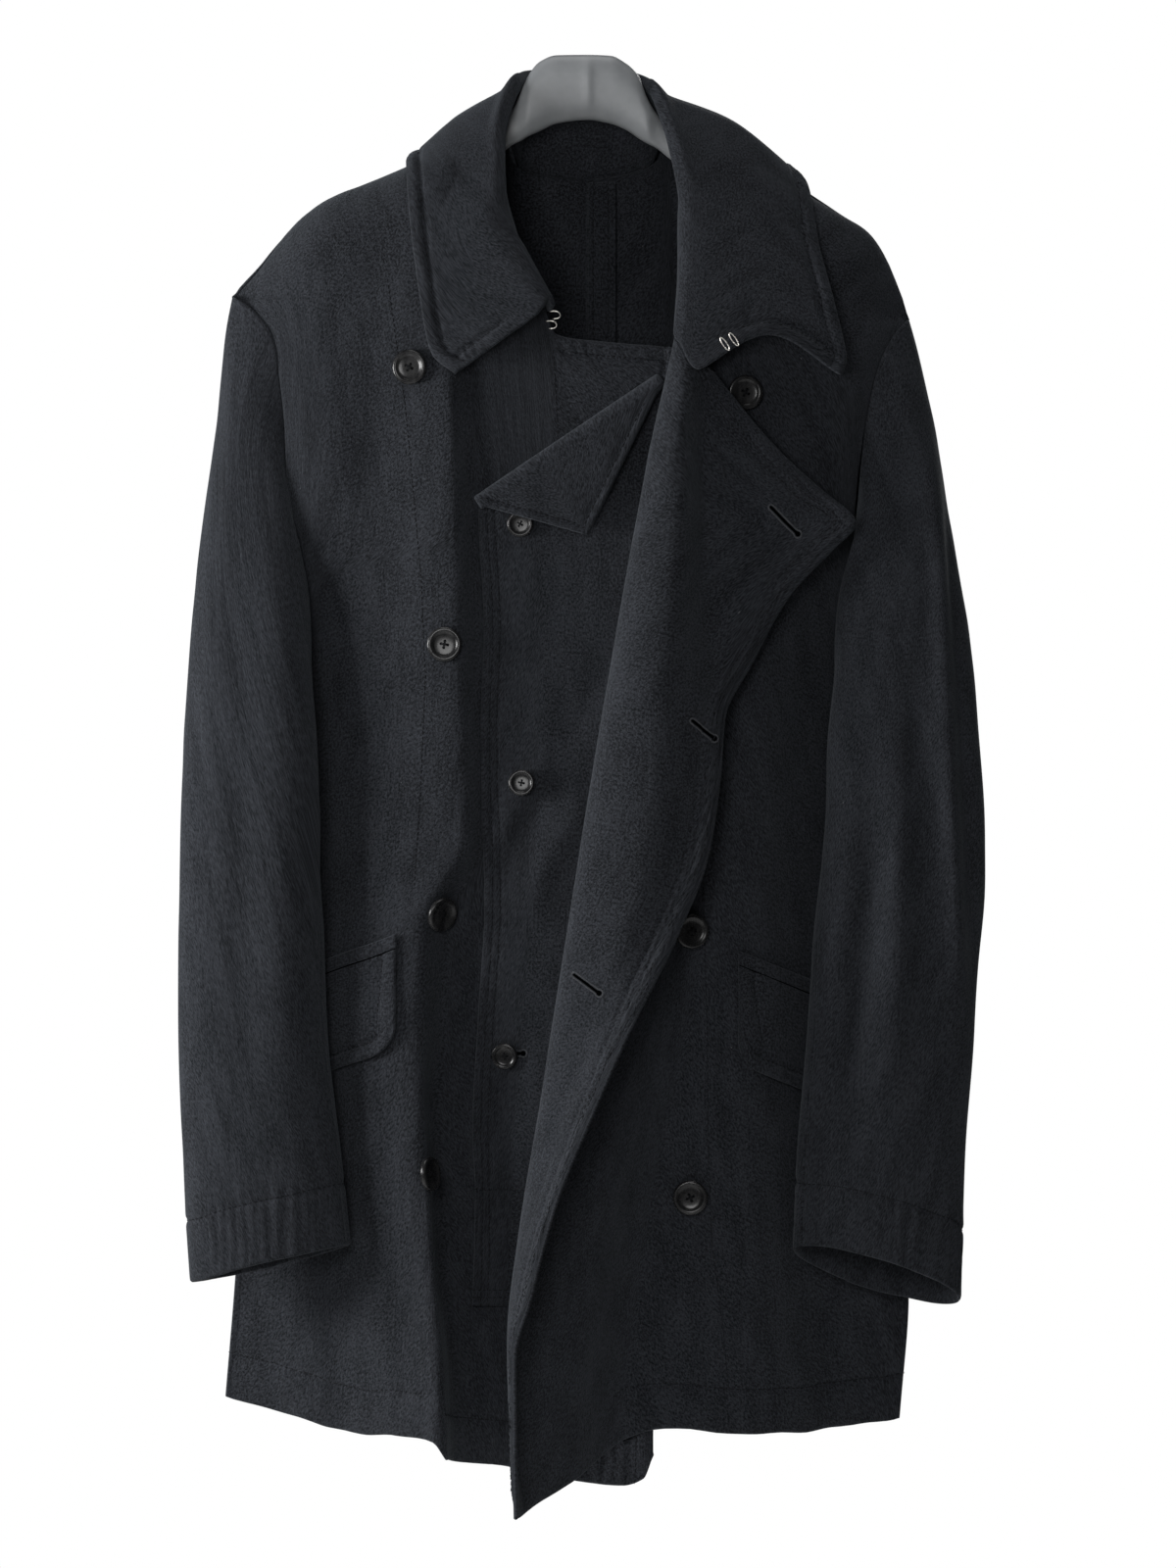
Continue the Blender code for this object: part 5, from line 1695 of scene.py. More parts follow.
    def build(self, finish: Material) -> list[Array]:
        """Make the collar.

        Args:
            finish: the cloth's material.

        Returns:
            The paths of its stitches.
        """
        rows = [Topstitch(Edge.BOTTOM, EDGE_INSET, self.EDGE_SPAN, pucker=0.85, pitch=6.6, dent=1.6,
                          puff=1.0)]
        rows += [Topstitch(end, EDGE_INSET, self.END_SPAN, pucker=0.7, pitch=6.6, dent=1.5)
                 for end in (Edge.LEFT, Edge.RIGHT)]
        piece = ClothPiece("collar_cloth", self.grid(), DOUBLE_WALL, Drape(0.7, 0.16, seed=21),
                           flat=(0.72, 0.14), cut=0.07, creases=COLLAR_CREASES, rows_of_stitches=tuple(rows))
        piece.build(finish, "collar")
        return piece.stitch_paths(STITCH_LIFT)


class InnerFlap:
    """Button flap on the underlap: main part, fold and turned-down corner."""

    FOLD_LOW = -300.0
    FOLD_RISE = 81.0
    BOTTOM = -832.0
    CORNER_AT = 0.334
    CORNER_LENGTH = 56.6
    CORNER_LEAST = 3.0
    CORNER_SHARES = (1.0, 0.05)
    CORNER_ROWS = 32
    FOLD_ROLL = 3.4
    FOLD_ANGLES = (165.0, 15.0)
    FOLD_ROWS = 9
    MAIN_ROWS = 150
    MAIN_MARGIN = 0.01
    EDGE_AT = 0.13
    COLUMNS = (13, 9, 27)
    BOTTOM_AT = 0.974
    BOTTOM_ROWS = 12
    LINES = (3.0, 6.0)
    EDGE_ROWS = (5.0, 10.0)
    CROSS_ROW = 77.0
    NEAR = 3.0
    FAR = 30.0

    def __init__(self, body: Body) -> None:
        """Keep the body that the flap lies on."""
        self.body = body
        self.piece: ClothPiece | None = None

    def lay(self, x: Array, z: Array) -> Array:
        """Points of the flap's outer face where it lies on the underlap."""
        point = self.body.lay("right_front", x, z, self.LINES)
        return point - np.array([0.0, LAY_GAP + DOUBLE_WALL, 0.0])

    def grid(self) -> Array:
        """Points of the outer face, from the turned-down corner over the fold to the bottom.

        Returns:
            The grid of points.
        """
        first, second, third = self.COLUMNS
        q = np.concatenate([np.linspace(0.0, self.EDGE_AT, first, endpoint=False),
                            np.linspace(self.EDGE_AT, self.CORNER_AT, second, endpoint=False),
                            np.linspace(self.CORNER_AT, 1.0, third)])
        fold_z = self.FOLD_LOW + self.FOLD_RISE * q
        left = INNER_FLAP.at("left", fold_z)
        fold_x = left + (INNER_FLAP.at("right", fold_z) - left) * q
        along = np.array([fold_x[-1] - fold_x[0], fold_z[-1] - fold_z[0]])
        along /= np.linalg.norm(along)
        down_x, down_z = along[1], -along[0]
        rise = np.where(q < self.CORNER_AT, q / self.CORNER_AT, (1.0 - q) / (1.0 - self.CORNER_AT))
        length = np.maximum(self.CORNER_LENGTH * rise, self.CORNER_LEAST)
        shares = np.linspace(*self.CORNER_SHARES, self.CORNER_ROWS)[:, None]
        out = np.array([0.0, 2.0 * self.FOLD_ROLL, 0.0])
        corner = self.lay(fold_x + down_x * length * shares, fold_z + down_z * length * shares) - out
        angle = np.radians(np.linspace(*self.FOLD_ANGLES, self.FOLD_ROWS))[:, None]
        reach = self.FOLD_ROLL * np.sin(angle)
        depth = self.FOLD_ROLL * (1.0 - np.cos(angle))
        roll = np.stack(np.broadcast_arrays(down_x * reach, depth, down_z * reach), axis=-1)
        fold = self.lay(fold_x, fold_z)[None, :] - roll
        share = np.concatenate([np.linspace(0.0, self.BOTTOM_AT, self.MAIN_ROWS, endpoint=False),
                                np.linspace(self.BOTTOM_AT, 1.0, self.BOTTOM_ROWS)])[:, None]
        z = fold_z + (self.BOTTOM - fold_z) * share
        x = INNER_FLAP.at("left", z) * (1.0 - q) + INNER_FLAP.at("right", z) * q
        return np.concatenate([corner, fold, self.lay(x, z)])

    def build(self, finish: Material) -> list[Array]:
        """Make the flap.

        Args:
            finish: the cloth's material.

        Returns:
            The paths of its stitches.
        """
        turned = self.CORNER_ROWS + self.FOLD_ROWS
        main = turned / (turned + self.MAIN_ROWS + self.BOTTOM_ROWS) + self.MAIN_MARGIN
        rows = [Topstitch(Edge.LEFT, inset, (main, 1.0), pucker=0.2, dent=0.7, puff=0.4)
                for inset in self.EDGE_ROWS]
        rows += [Topstitch(Edge.BOTTOM, inset, pucker=0.1, dent=0.7, puff=0.0)
                 for inset in (*self.EDGE_ROWS, self.CROSS_ROW)]
        rows.append(Topstitch(Edge.TOP, self.EDGE_ROWS[0], (0.06, 0.9), True, dent=0.7, puff=0.4))
        self.piece = ClothPiece("inner_flap_cloth", self.grid(), DOUBLE_WALL, Drape(0.5, 0.14, seed=22),
                                flat=(0.14, 0.67), cut=0.07, creases=FLAP_CREASES,
                                rows_of_stitches=tuple(rows))
        self.piece.build(finish, "inner_flap")
        return self.piece.stitch_paths(STITCH_LIFT)

    def at(self, x: Array, z: Array) -> Array:
        """Points of the main part's finished face in the front view.

        Args:
            x: sideways places.
            z: heights.

        Returns:
            Points in millimetres.
        """
        face = self.piece.surface.points[self.CORNER_ROWS + self.FOLD_ROWS:].reshape(-1, 3)
        x, z = np.broadcast_arrays(np.asarray(x, float), np.asarray(z, float))
        off = (face[:, 0] - x[..., None]) ** 2 + (face[:, 2] - z[..., None]) ** 2
        weight = np.exp(-off / self.NEAR ** 2) + TINY * np.exp(-off / self.FAR ** 2)
        y = (weight * face[:, 1]).sum(axis=-1) / weight.sum(axis=-1)
        return np.stack([x, y, z], axis=-1)


class Pocket:
    """Slanted pocket flap with the welt above it, lying on a front."""

    HEIGHT = 66.0
    WELT_HEIGHT = 8.0
    CORNER = 14.0
    GAP = 1.0
    SPLIT = 1.6
    MOUTH_LIFT = 2.0
    FLARE = 1.6
    COLUMNS = 60
    ROWS = 44
    WELT_ROWS = 7
    LINES = (0.0, 3.0)
    STITCH_INSET = 9.5

    def __init__(self, body: Body, label: str, side: float, x: float, z: float, slope: float,
                 width: float) -> None:
        """Set out a pocket.

        Args:
            body: the body it lies on.
            label: right or left.
            side: -1 towards the right side seam, 1 towards the left.
            x: sideways place of the inner top corner.
            z: height of that corner.
            slope: fall of the top edge towards the side.
            width: length of the flap in the front view.
        """
        self.body = body
        self.label = label
        across = np.linspace(0.0, width, self.COLUMNS)
        inset = np.maximum(self.CORNER - across, 0.0)
        self.x = x + side * across
        self.top = z - slope * across
        self.lift = self.CORNER - np.sqrt(np.maximum(self.CORNER ** 2 - inset ** 2, 0.0))
        self.turned = side < 0

    def lay(self, z: Array, wall: float) -> Array:
        """Rows of points a wall's thickness out from the front."""
        grid = self.body.lay(f"{self.label}_front", self.x[None, :], z, self.LINES, self.GAP + wall)
        return grid[:, ::-1] if self.turned else grid

    def build(self, finish: Material, dark: Material) -> list[Array]:
        """Make the flap, the welt and the near-black sheet of painted shade in the mouth between them.

        Args:
            finish: the cloth's material.
            dark: the material of the painted shade in the mouth.

        Returns:
            The paths of their stitches.
        """
        share = np.linspace(0.0, 1.0, self.ROWS)[:, None]
        inner = Edge.RIGHT if self.turned else Edge.LEFT
        rows = (Topstitch(Edge.BOTTOM, self.STITCH_INSET, (0.05, 0.95), pucker=0.5, dent=1.3, puff=0.9),
                Topstitch(inner, self.STITCH_INSET, (0.0, 0.86), pucker=0.4, dent=1.3, puff=0.9))
        reach = self.HEIGHT - self.lift - self.SPLIT
        grid = self.lay(self.top - self.SPLIT - reach * share, DOUBLE_WALL)
        grid[..., 1] -= self.FLARE * share ** 2
        flap = ClothPiece(f"pocket_flap_{self.label}_cloth", grid, DOUBLE_WALL, Drape(0.4, 0.2, seed=31),
                          flat=(0.088, 0.08), cut=0.0064, rows_of_stitches=rows)
        share = np.linspace(1.0, 0.0, self.WELT_ROWS)[:, None]
        grid = self.lay(self.top + self.WELT_HEIGHT * share, DOUBLE_WALL)
        welt = ClothPiece(f"pocket_welt_{self.label}_cloth", grid, WALL, Drape(0.2, 0.15, seed=32),
                          flat=(0.088, 0.011), cut=0.0009)
        flap.build(finish, f"pocket_flap_{self.label}")
        welt.build(finish, f"pocket_welt_{self.label}")
        # A near-black sheet across the mouth between flap and welt: painted shade where the opening is
        mouth = self.lay(self.top - self.SPLIT * np.array([[0.0], [1.0]]), self.MOUTH_LIFT)
        number = np.arange(2 * self.COLUMNS).reshape(2, self.COLUMNS)
        faces = grid_faces(number).tolist()
        name = f"pocket_mouth_painted_shade_{self.label}"
        add_piece(name, as_mesh(name, mouth.reshape(-1, 3), faces), dark, "wool")
        return flap.stitch_paths(STITCH_LIFT)


def tube(points: Array, radius: float, closed: bool, sides: int = WIRE_SIDES) -> tuple[Array, Faces]:
    """Round wire through points.

    Args:
        points: the middle line in millimetres.
        radius: the wire's radius.
        closed: whether the line is a loop.
        sides: corners of each section.

    Returns:
        Points and faces of the wire.
    """
    ahead = np.gradient(points, axis=0)
    if closed:
        ahead = np.roll(points, -1, axis=0) - np.roll(points, 1, axis=0)
    ahead /= length_of(ahead)
    right = np.cross(ahead, WIRE_GUIDE)
    right /= length_of(right)
    over = np.cross(right, ahead)
    turns = full_turn(sides)
    ring = np.cos(turns)[:, None] * right[:, None] + np.sin(turns)[:, None] * over[:, None]
    return (points[:, None] + radius * ring).reshape(-1, 3), ring_faces(len(points), sides, closed)


class Buttons:
    """Two columns of large buttons on the fronts and a column of small ones on the inner flap."""

    BIG = 11.7
    SMALL = 8.8
    GAP = 0.9
    TILT_REACH = 0.8
    SIDES = 56
    PROFILE = ((0.34, 0.237), (0.56, 0.25), (0.66, 0.275), (0.72, 0.32), (0.78, 0.352), (0.84, 0.36),
               (0.90, 0.35), (0.95, 0.32), (0.985, 0.27), (1.0, 0.2), (0.985, 0.11), (0.93, 0.03),
               (0.86, 0.0))
    HOLE_TURNS = (45.0, 135.0, 225.0, 315.0)
    HOLE_AT = 0.19
    HOLE_RADIUS = 0.085
    HOLE_DEPTH = 2.0
    HOLE_SIDES = 14
    THREAD_TURNS = ((45.0, 1.0), (135.0, 1.6))
    THREAD_FROM = 0.185
    THREAD_RISE = 0.07
    THREAD_RADIUS = 0.033
    THREAD_ASIDE = (-0.03025, 0.03025)
    THREAD_STEPS = 15
    THREAD_SIDES = 8
    SPIN = 17.0
    RIGHT_LINES = (0.0, 5.0)
    SHARP = math.radians(38.0)

    def __init__(self, body: Body, flap: InnerFlap) -> None:
        """Keep the cloth that the buttons are sewn to."""
        self.body = body
        self.flap = flap
        self.template = self.blank()

    def blank(self) -> Mesh:
        """Turned button of radius 1 with four holes, on the Z axis.

        Returns:
            The new mesh.
        """
        turns, rim = full_turn(self.SIDES), np.array(self.PROFILE)
        flat_ring = rim[:, None, :1] * np.stack([np.cos(turns), np.sin(turns)], axis=-1)
        heights = np.broadcast_to(rim[:, None, 1:], (len(rim), self.SIDES, 1))
        points = np.concatenate([flat_ring, heights], axis=-1).reshape(-1, 3)
        faces = ring_faces(len(rim), self.SIDES)
        solid = bpy.data.objects.new("button_blank", as_mesh("button_blank", points / MM, faces))
        cutters = bmesh.new()
        for turn in self.HOLE_TURNS:
            angle = math.radians(turn)
            spot = Matrix.Translation((self.HOLE_AT * math.cos(angle), self.HOLE_AT * math.sin(angle), 0.0))
            bmesh.ops.create_cone(cutters, cap_ends=True, segments=self.HOLE_SIDES, radius1=self.HOLE_RADIUS,
                                  radius2=self.HOLE_RADIUS, depth=self.HOLE_DEPTH, matrix=spot)
        holes_mesh = bpy.data.meshes.new("button_holes")
        cutters.to_mesh(holes_mesh)
        cutters.free()
        holes = bpy.data.objects.new("button_holes", holes_mesh)
        for part in (solid, holes):
            bpy.context.scene.collection.objects.link(part)
        cut = solid.modifiers.new("holes", "BOOLEAN")
        cut.operation = "DIFFERENCE"
        cut.solver = "EXACT"
        cut.object = holes
        depsgraph = bpy.context.evaluated_depsgraph_get()
        mesh = bpy.data.meshes.new_from_object(solid.evaluated_get(depsgraph))
        for part in (solid, holes):
            bpy.data.objects.remove(part)
        return mesh

    def threads(self) -> tuple[Array, Faces]:
        """Two crossing pairs of threads through the holes of a button of radius 1.

        Returns:
            The threads' points and faces.
        """
        all_points, all_faces, count = [], [], 0
        share = np.linspace(-1.0, 1.0, self.THREAD_STEPS)[:, None]
        for turn, layer in self.THREAD_TURNS:
            angle = math.radians(turn)
            along = np.array([math.cos(angle), math.sin(angle), 0.0])
            across = np.array([-along[1], along[0], 0.0])
            rise = self.THREAD_FROM + self.THREAD_RISE * layer * (1.0 - share ** 4)
            for aside in self.THREAD_ASIDE:
                line = along * self.HOLE_AT * share + across * aside + rise * np.array([0.0, 0.0, 1.0])
                points, faces = tube(line, self.THREAD_RADIUS, False, self.THREAD_SIDES)
                all_faces += [[k + count for k in face] for face in faces]
                all_points.append(points)
                count += len(points)
        return np.concatenate(all_points), all_faces

    def sew(self, name: str, surface: Callable[[Array, Array], Array], x: float, z: float, radius: float,
            gap: float, spin: float, finishes: tuple[Material, Material]) -> None:
        """Put one button on a cloth, tilted with it.

        Args:
            name: the solid that the button stands for.
            surface: the cloth's face in the front view.
            x: sideways place.
            z: height.
            radius: the button's radius.
            gap: distance out from the cloth.
            spin: turn of its holes, in degrees.
            finishes: materials of the button and its thread.
        """
        reach = radius * self.TILT_REACH
        right = surface(np.array(x + reach), np.array(z)) - surface(np.array(x - reach), np.array(z))
        below = surface(np.array(x), np.array(z - reach)) - surface(np.array(x), np.array(z + reach))
        normal = np.cross(below, right)
        normal /= np.linalg.norm(normal)
        centre = surface(np.array(x), np.array(z)) + normal * gap
        mesh = self.template.copy()
        mesh.materials.clear()
        for finish in finishes:
            mesh.materials.append(finish)
        points, faces = self.threads()
        shape = bmesh.new()
        shape.from_mesh(mesh)
        corners = [shape.verts.new(point) for point in points.tolist()]
        for face in faces:
            shape.faces.new([corners[k] for k in face]).material_index = 1
        shape.to_mesh(mesh)
        shape.free()
        turn = Vector(normal).to_track_quat("Z", "Y").to_matrix().to_4x4()
        place = Matrix.Translation(Vector(centre) * MM) @ turn @ Matrix.Rotation(math.radians(spin), 4, "Z")
        mesh.transform(place @ Matrix.Scale(radius * MM, 4))
        mesh.shade_smooth()
        mesh.set_sharp_from_angle(angle=self.SHARP)
        mesh.name = f"{name}_turned"
        add_piece(f"{name}_turned", mesh, finishes[0], "horn", name)

    def build(self, horn: Material, thread: Material) -> None:
        """Sew on every button.

        Args:
            horn: the buttons' material.
            thread: their thread's material.
        """
        on_right = partial(self.body.lay, "right_front", lines=self.RIGHT_LINES)
        on_left = partial(self.body.lay, "left_front", lines=LEFT_MAIN)
        for label, table, surface, radius in (("right", RIGHT_BUTTONS, on_right, self.BIG),
                                              ("left", LEFT_BUTTONS, on_left, self.BIG),
                                              ("inner", INNER_BUTTONS, self.flap.at, self.SMALL)):
            for number, x, z, lift in table.rows.tolist():
                name = f"button_{label}_{int(number)}"
                self.sew(name, surface, x, z, radius, self.GAP + lift, self.SPIN * number, (horn, thread))


class HooksAndEyes:
    """Wire hooks at the right collar end and eyes on the left one."""

    HOOKS = ((1, -29.5, -172.5), (2, -32.0, -179.0))
    EYES = ((1, 90.5, -67.8, -194.5), (2, 96.5, -66.8, -191.5))
    WIRE = 0.42
    LIFT = 1.5
    BEND = ((4.0, 0.4), (5.5, 0.5), (7.0, 0.6), (9.2, 0.3), (10.6, -0.6), (11.3, -2.2), (10.8, -3.5),
            (9.4, -4.3), (7.6, -4.5), (6.0, -4.3))
    LINES = (3.0, 6.0)
    EYE_SIZES = (5.0, 1.4)
    EYE_SLANT = math.radians(-55.0)
    EYE_TURNS = 28

    def __init__(self, body: Body) -> None:
        """Keep the cloth that they are sewn to."""
        self.body = body

    def build(self, finish: Material) -> None:
        """Bend the wires.

        Args:
            finish: the wire's material.
        """
        for number, x, z in self.HOOKS:
            base = self.body.lay("right_front", np.array(x), np.array(z), self.LINES)
            bend = base + np.array([(along, -self.LIFT, up) for along, up in self.BEND])
            self.bend(f"collar_hook_{number}", tube(bend, self.WIRE, False), finish)
        turns = full_turn(self.EYE_TURNS)
        along, across = self.EYE_SIZES[0] * np.cos(turns), self.EYE_SIZES[1] * np.sin(turns)
        cos, sin = math.cos(self.EYE_SLANT), math.sin(self.EYE_SLANT)
        loop = np.stack([along * cos - across * sin, 0.0 * turns, along * sin + across * cos], axis=-1)
        for number, *spot in self.EYES:
            self.bend(f"collar_eye_{number}", tube(np.array(spot) + loop, self.WIRE, True), finish)

    @staticmethod
    def bend(name: str, wire: tuple[Array, Faces], finish: Material) -> None:
        """Add one wire in place of its solid."""
        add_piece(f"{name}_wire", as_mesh(f"{name}_wire", *wire), finish, "metal", name)


class Hanger:
    """Thick hanger with rounded sections along the shoulders."""

    SECTIONS = 190
    SIDES = 56
    SQUARENESS = 0.82
    RIDGE = 0.7
    RIDGE_WIDTH = 3.0

    def build(self, finish: Material) -> None:
        """Make the hanger.

        Args:
            finish: its material.
        """
        xs = np.linspace(HANGER.rows[0, 0], HANGER.rows[-1, 0], self.SECTIONS)
        turns = full_turn(self.SIDES)
        top, bottom, depth = (HANGER.at(size, xs)[:, None] for size in ("top", "bottom", "depth"))
        up, out = np.cos(turns), np.sin(turns)
        z = 0.5 * (top + bottom) + 0.5 * (top - bottom) * np.sign(up) * np.abs(up) ** self.SQUARENESS
        y = depth * np.sign(out) * np.abs(out) ** self.SQUARENESS
        y = y + self.RIDGE * np.sign(out) * np.abs(out) * np.exp(-((xs[:, None] / self.RIDGE_WIDTH) ** 2))
        points = np.stack([np.broadcast_to(xs[:, None], z.shape), y, z], axis=-1)
        mesh = as_mesh("hanger_body", points.reshape(-1, 3), ring_faces(self.SECTIONS, self.SIDES))
        add_piece("hanger_body", mesh, finish, "hanger_grey", "hanger")


class StitchTree(NodeTree):
    """Geometry nodes that lay separate stitches along edges."""

    SIDES = 6
    RINGS = 4
    SEED = 7
    HALF_LENGTHS = (0.42, 0.54)
    DEPTH_AXIS = (0.0, 1.0, 0.0)
    INPUTS = (("Geometry", "NodeSocketGeometry"), ("Pitch", "NodeSocketFloat"), ("Length", "NodeSocketFloat"),
              ("Radius", "NodeSocketFloat"), ("Across", "NodeSocketBool"), ("Finish", "NodeSocketMaterial"))

    def __init__(self, name: str) -> None:
        """Build the tree.

        Args:
            name: the tree's name.
        """
        super().__init__(bpy.data.node_groups.new(name, "GeometryNodeTree"))
        sockets = self.tree.interface
        sockets.new_socket("Geometry", in_out="OUTPUT", socket_type="NodeSocketGeometry")
        self.inputs = {label: sockets.new_socket(label, in_out="INPUT", socket_type=kind).identifier
                       for label, kind in self.INPUTS}
        self.link_nodes()

    def link_nodes(self) -> None:
        """Points along the edges, a stitch on each, turned along or across the edge."""
        given = self.add("NodeGroupInput").outputs
        curve = self.add("GeometryNodeMeshToCurve", {"Mesh": given["Geometry"]}).outputs[0]
        points = self.add("GeometryNodeCurveToPoints", {"Curve": curve, "Length": given["Pitch"]},
                          mode="LENGTH").outputs
        across = self.add("ShaderNodeVectorMath", {0: points["Tangent"], 1: self.DEPTH_AXIS},
                          operation="CROSS_PRODUCT").outputs[0]
        choices = {"Switch": given["Across"], "False": points["Tangent"], "True": across}
        heading = self.add("GeometryNodeSwitch", choices, input_type="VECTOR").outputs[0]
        turn = self.add("FunctionNodeAlignRotationToVector", {"Vector": heading}, axis="X").outputs[0]
        bead = {"Segments": self.SIDES, "Rings": self.RINGS, "Radius": 1.0}
        stitch = self.add("GeometryNodeMeshUVSphere", bead).outputs["Mesh"]
        shortest, longest = self.HALF_LENGTHS
        jitter = self.add("FunctionNodeRandomValue", {2: shortest, 3: longest, "Seed": self.SEED},
                          data_type="FLOAT").outputs[1]
        length = self.math("MULTIPLY", given["Length"], jitter)
        half_sizes = {"X": length, "Y": given["Radius"], "Z": given["Radius"]}
        size = self.add("ShaderNodeCombineXYZ", half_sizes).outputs[0]
        laid = self.add("GeometryNodeInstanceOnPoints", {
            "Points": points["Points"], "Instance": stitch, "Rotation": turn, "Scale": size}).outputs[0]
        real = self.add("GeometryNodeRealizeInstances", {"Geometry": laid}).outputs[0]
        smooth = self.add("GeometryNodeSetShadeSmooth", {"Geometry": real}).outputs[0]
        dyed = self.add("GeometryNodeSetMaterial", {"Geometry": smooth, "Material": given["Finish"]})
        self.add("NodeGroupOutput", {"Geometry": dyed.outputs[0]})


@dataclass
class Stitching:
    """All rows of one kind of stitch, made into one piece."""

    name: str
    pitch: float
    length: float
    radius: float
    across: bool = False
    paths: list[Array] = field(default_factory=list)

    def build(self, tree: StitchTree, finish: Material) -> None:
        """Run the tree on the paths and keep the stitches as a plain mesh.

        Args:
            tree: the tree that lays the stitches.
            finish: the thread's material.
        """
        edges, count = [], 0
        for path in self.paths:
            edges += [(count + i, count + i + 1) for i in range(len(path) - 1)]
            count += len(path)
        lines = bpy.data.meshes.new(f"{self.name}_lines")
        lines.from_pydata((np.concatenate(self.paths) * MM).tolist(), edges, [])
        holder = bpy.data.objects.new(f"{self.name}_lines", lines)
        bpy.context.scene.collection.objects.link(holder)
        modifier = holder.modifiers.new("stitches", "NODES")
        modifier.node_group = tree.tree
        for label, value in (("Pitch", self.pitch * MM), ("Length", self.length * MM),
                             ("Radius", self.radius * MM), ("Across", self.across), ("Finish", finish)):
            modifier[tree.inputs[label]] = value
        depsgraph = bpy.context.evaluated_depsgraph_get()
        mesh = bpy.data.meshes.new_from_object(holder.evaluated_get(depsgraph))
        bpy.data.objects.remove(holder)
        mesh.name = self.name
        add_piece(self.name, mesh, finish, "wool")


class Buttonholes:
    """Worked buttonholes on the turned-back front and the inner flap."""

    LAPEL = (((121.0, -303.0), (139.0, -320.0), (7.0, 8.0)), ((68.0, -444.0), (83.0, -456.0), (6.0, 8.0)),
             ((-8.0, -612.0), (8.0, -624.0), (5.0, 7.0)))
    FLAP = ((-52.0, -664.5), (-43.0, -664.5))
    RIM_SIZES = (1.7, 2.5)
    SLIT_SIZES = (0.75, 1.6)
    STEPS = 18
    LIFT = 0.2
    SLIT_LIFT = 0.55

    def __init__(self, body: Body, flap: InnerFlap) -> None:
        """Keep the cloth that they are cut in."""
        self.body = body
        self.flap = flap

    def loop(self, start: Pair, end: Pair, sizes: Pair) -> Array:
        """Long loop round a slit in the front view, as (x, z), wider at its keyhole end.

        Args:
            start: one end of the slit.
            end: the keyhole end.
            sizes: distance of the loop from the slit's middle line, and the keyhole's radius.

        Returns:
            Points of the loop.
        """
        half, eye = sizes
        first, last = np.array(start), np.array(end)
        along = (last - first) / np.linalg.norm(last - first)
        across = np.array([-along[1], along[0]])
        neck = math.asin(half / eye)
        round_eye = np.linspace(neck - math.pi, math.pi - neck, 2 * self.STEPS)[:, None]
        round_end = np.linspace(-0.5 * math.pi, 0.5 * math.pi, self.STEPS // 2)[:, None]
        share = np.linspace(0.0, 1.0, self.STEPS)[:, None]
        reach = last - eye * math.cos(neck) * along - first
        far = last + eye * (np.cos(round_eye) * along + np.sin(round_eye) * across)
        near = first - half * (np.cos(round_end) * along + np.sin(round_end) * across)
        return np.concatenate([first + reach * share - half * across, far[1:-1],
                               first + reach * (1.0 - share) + half * across, near[1:-1]])

    def lay_lapel(self, path: Array, lines: Pair, lift: float) -> Array:
        """Points of the front view on the inner face of the turned-back front."""
        return self.body.lay("left_front", path[:, 0], path[:, 1], lines, -(WALL + lift))

    def lay_flap(self, path: Array, lift: float) -> Array:
        """Points of the front view on the inner flap's face."""
        return self.flap.at(path[:, 0], path[:, 1]) - np.array([0.0, lift, 0.0])

    def build(self, dark: Material) -> list[Array]:
        """Make the near-black slit sheets, painted shade inside the buttonholes.

        Args:
            dark: the material of the slits' painted shade.

        Returns:
            Paths for the thread round them.
        """
        rims, slits = [], []
        for start, end, lines in self.LAPEL:
            rims.append(self.lay_lapel(self.loop(start, end, self.RIM_SIZES), lines, self.LIFT))
            slits.append(self.lay_lapel(self.loop(start, end, self.SLIT_SIZES), lines, self.SLIT_LIFT))
        rims.append(self.lay_flap(self.loop(*self.FLAP, self.RIM_SIZES), self.LIFT))
        slits.append(self.lay_flap(self.loop(*self.FLAP, self.SLIT_SIZES), self.SLIT_LIFT))
        faces, count = [], 0
        for slit in slits:
            faces.append(list(range(count, count + len(slit))))
            count += len(slit)
        # The slits are near-black sheets: painted shade inside the buttonholes
        add_piece("buttonhole_slit_painted_shade", as_mesh("buttonhole_slit_painted_shade", np.concatenate(slits), faces), dark, "wool")
        return [np.concatenate([rim, rim[:1]]) for rim in rims]


@dataclass(frozen=True)
class Lamp:
    """Square soft light that points at the coat, with its side in metres and its power in watts."""

    name: str
    spot: Triple
    size: float
    power: float

    AIM = (0.0, 0.0, -0.45)

    def build(self) -> None:
        """Hang the lamp."""
        light = bpy.data.lights.new(self.name, "AREA")
        light.size = self.size
        light.energy = self.power
        lamp = bpy.data.objects.new(self.name, light)
        lamp.location = self.spot
        lamp.rotation_euler = (Vector(self.AIM) - Vector(self.spot)).to_track_quat("-Z", "Y").to_euler()
        bpy.context.scene.collection.objects.link(lamp)


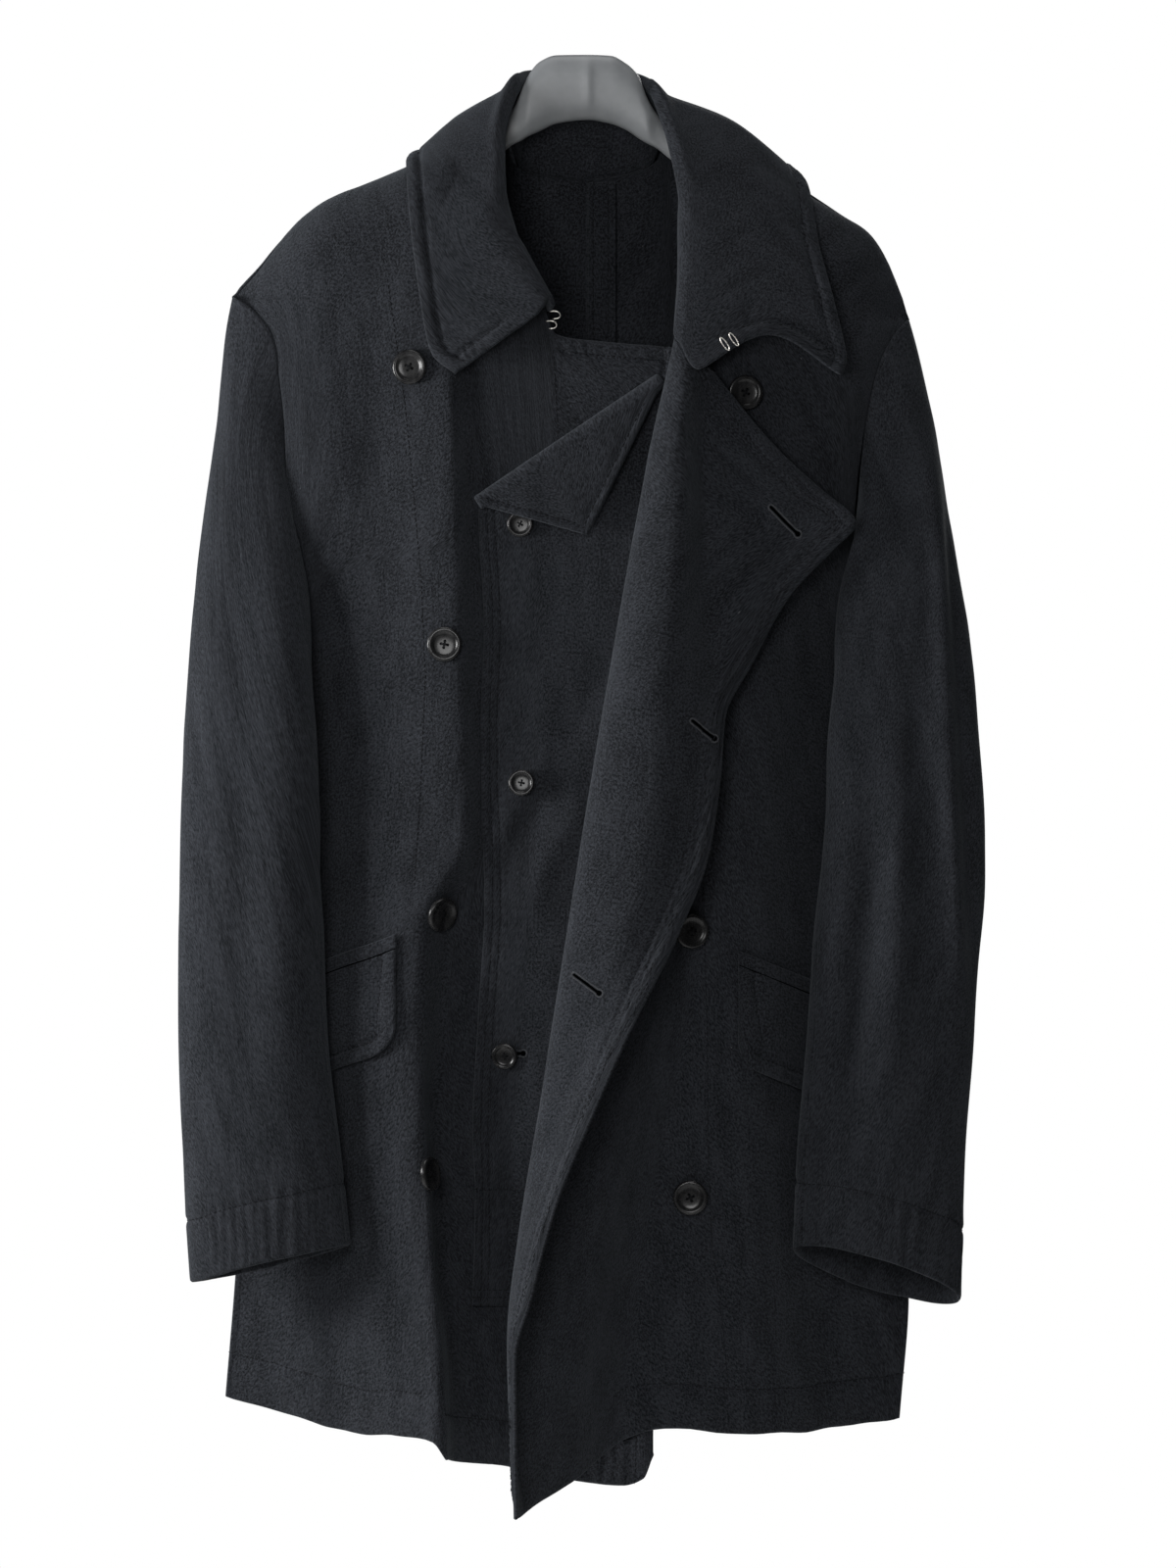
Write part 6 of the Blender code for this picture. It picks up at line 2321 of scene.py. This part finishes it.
@dataclass(frozen=True)
class Studio:
    """White studio with soft lights, and the photo's view."""

    camera_spot: Triple = (0.0, -10.04, -0.4856)
    sensor: float = 36.0
    distance: float = 10.0
    frame_height: float = 1.04
    clip_end: float = 50.0
    lamps: tuple[Lamp, ...] = (Lamp("key_light", (-1.35, -0.40, -0.35), 0.5, 30.0),
                               Lamp("front_light", (-0.5, -2.6, 0.0), 0.9, 26.0),
                               Lamp("top_light", (0.0, -0.35, 1.5), 1.2, 16.0),
                               Lamp("back_light", (0.7, 2.3, 0.2), 1.6, 34.0))
    sky: float = 0.06
    floor_height: float = -1.4
    floor_radius: float = 1.7
    floor_sides: int = 64

    def build(self, floor_finish: Material) -> None:
        """Set the camera, the lights, the white surround and the floor.

        Args:
            floor_finish: the floor's material.
        """
        scene = bpy.context.scene
        camera = bpy.data.cameras.new("photo_view")
        camera.lens = self.sensor * self.distance / self.frame_height
        camera.clip_end = self.clip_end
        eye = bpy.data.objects.new("photo_view", camera)
        eye.location = self.camera_spot
        eye.rotation_euler = (0.5 * math.pi, 0.0, 0.0)
        scene.collection.objects.link(eye)
        scene.camera = eye
        for lamp in self.lamps:
            lamp.build()
        turns = full_turn(self.floor_sides)
        ring = np.stack([np.cos(turns), np.sin(turns), 0.0 * turns], axis=-1) * self.floor_radius
        ring[:, 2] = self.floor_height
        floor = bpy.data.objects.new("floor", as_mesh("floor", ring / MM, [list(range(len(ring)))]))
        floor.data.materials.append(floor_finish)
        scene.collection.objects.link(floor)
        self.light_world(scene)

    def light_world(self, scene: bpy.types.Scene) -> None:
        """White background that lights the coat more softly than it looks.

        Args:
            scene: the scene to light.
        """
        world = bpy.data.worlds.new("white_studio")
        world.use_nodes = True
        world.node_tree.nodes.clear()
        tree = NodeTree(world.node_tree)
        soft = tree.add("ShaderNodeBackground", {"Color": WHITE, "Strength": self.sky}).outputs[0]
        white = tree.add("ShaderNodeBackground", {"Color": WHITE}).outputs[0]
        seen = tree.add("ShaderNodeLightPath").outputs["Is Camera Ray"]
        pick = tree.add("ShaderNodeMixShader", {0: seen, 1: soft, 2: white}).outputs[0]
        tree.add("ShaderNodeOutputWorld", {"Surface": pick})
        scene.world = world
        scene.view_settings.view_transform = "Standard"


def main() -> None:
    """Build the coat, its hanger and the studio."""
    logging.basicConfig(level=logging.INFO, format="%(message)s")
    wool, smooth_wool, thread, slit_painted_shade = (
        finish.make() for finish in (NAPPED_WOOL, SMOOTH_WOOL, BLACK_THREAD, SLIT_PAINTED_SHADE))
    topstitching = Stitching("topstitching", pitch=3.7, length=2.9, radius=0.34)
    edging = Stitching("buttonhole_edging", pitch=0.75, length=1.5, radius=0.36, across=True)
    body = Body()
    body.build(wool)
    topstitching.paths += body.stitch_paths()
    right_sleeve = Sleeve("right", RIGHT, SLEEVE_RIGHT, mirrored=False, creases=SLEEVE_RIGHT_CREASES,
                          cuff_drop=4.0, cuff_lift=0.0, seed=41)
    left_sleeve = Sleeve("left", LEFT, SLEEVE_LEFT, mirrored=True, creases=SLEEVE_LEFT_CREASES,
                         cuff_drop=22.0, cuff_lift=8.0, seed=43)
    for sleeve in (right_sleeve, left_sleeve):
        topstitching.paths += sleeve.build(wool)
    topstitching.paths += Collar(body).build(smooth_wool)
    flap = InnerFlap(body)
    topstitching.paths += flap.build(smooth_wool)
    for label, row in zip(("right", "left"), POCKETS.rows.tolist()):
        topstitching.paths += Pocket(body, label, *row).build(wool, slit_painted_shade)
    Buttons(body, flap).build(DARK_HORN.make(), thread)
    HooksAndEyes(body).build(NICKEL_WIRE.make())
    Hanger().build(GREY_HANGER.make())
    edging.paths += Buttonholes(body, flap).build(slit_painted_shade)
    tree = StitchTree("stitch_rows")
    topstitching.build(tree, thread)
    edging.build(tree, BUTTONHOLE_THREAD.make())
    Studio().build(PALE_FLOOR.make())
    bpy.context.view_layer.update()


if __name__ == "__main__":
    main()
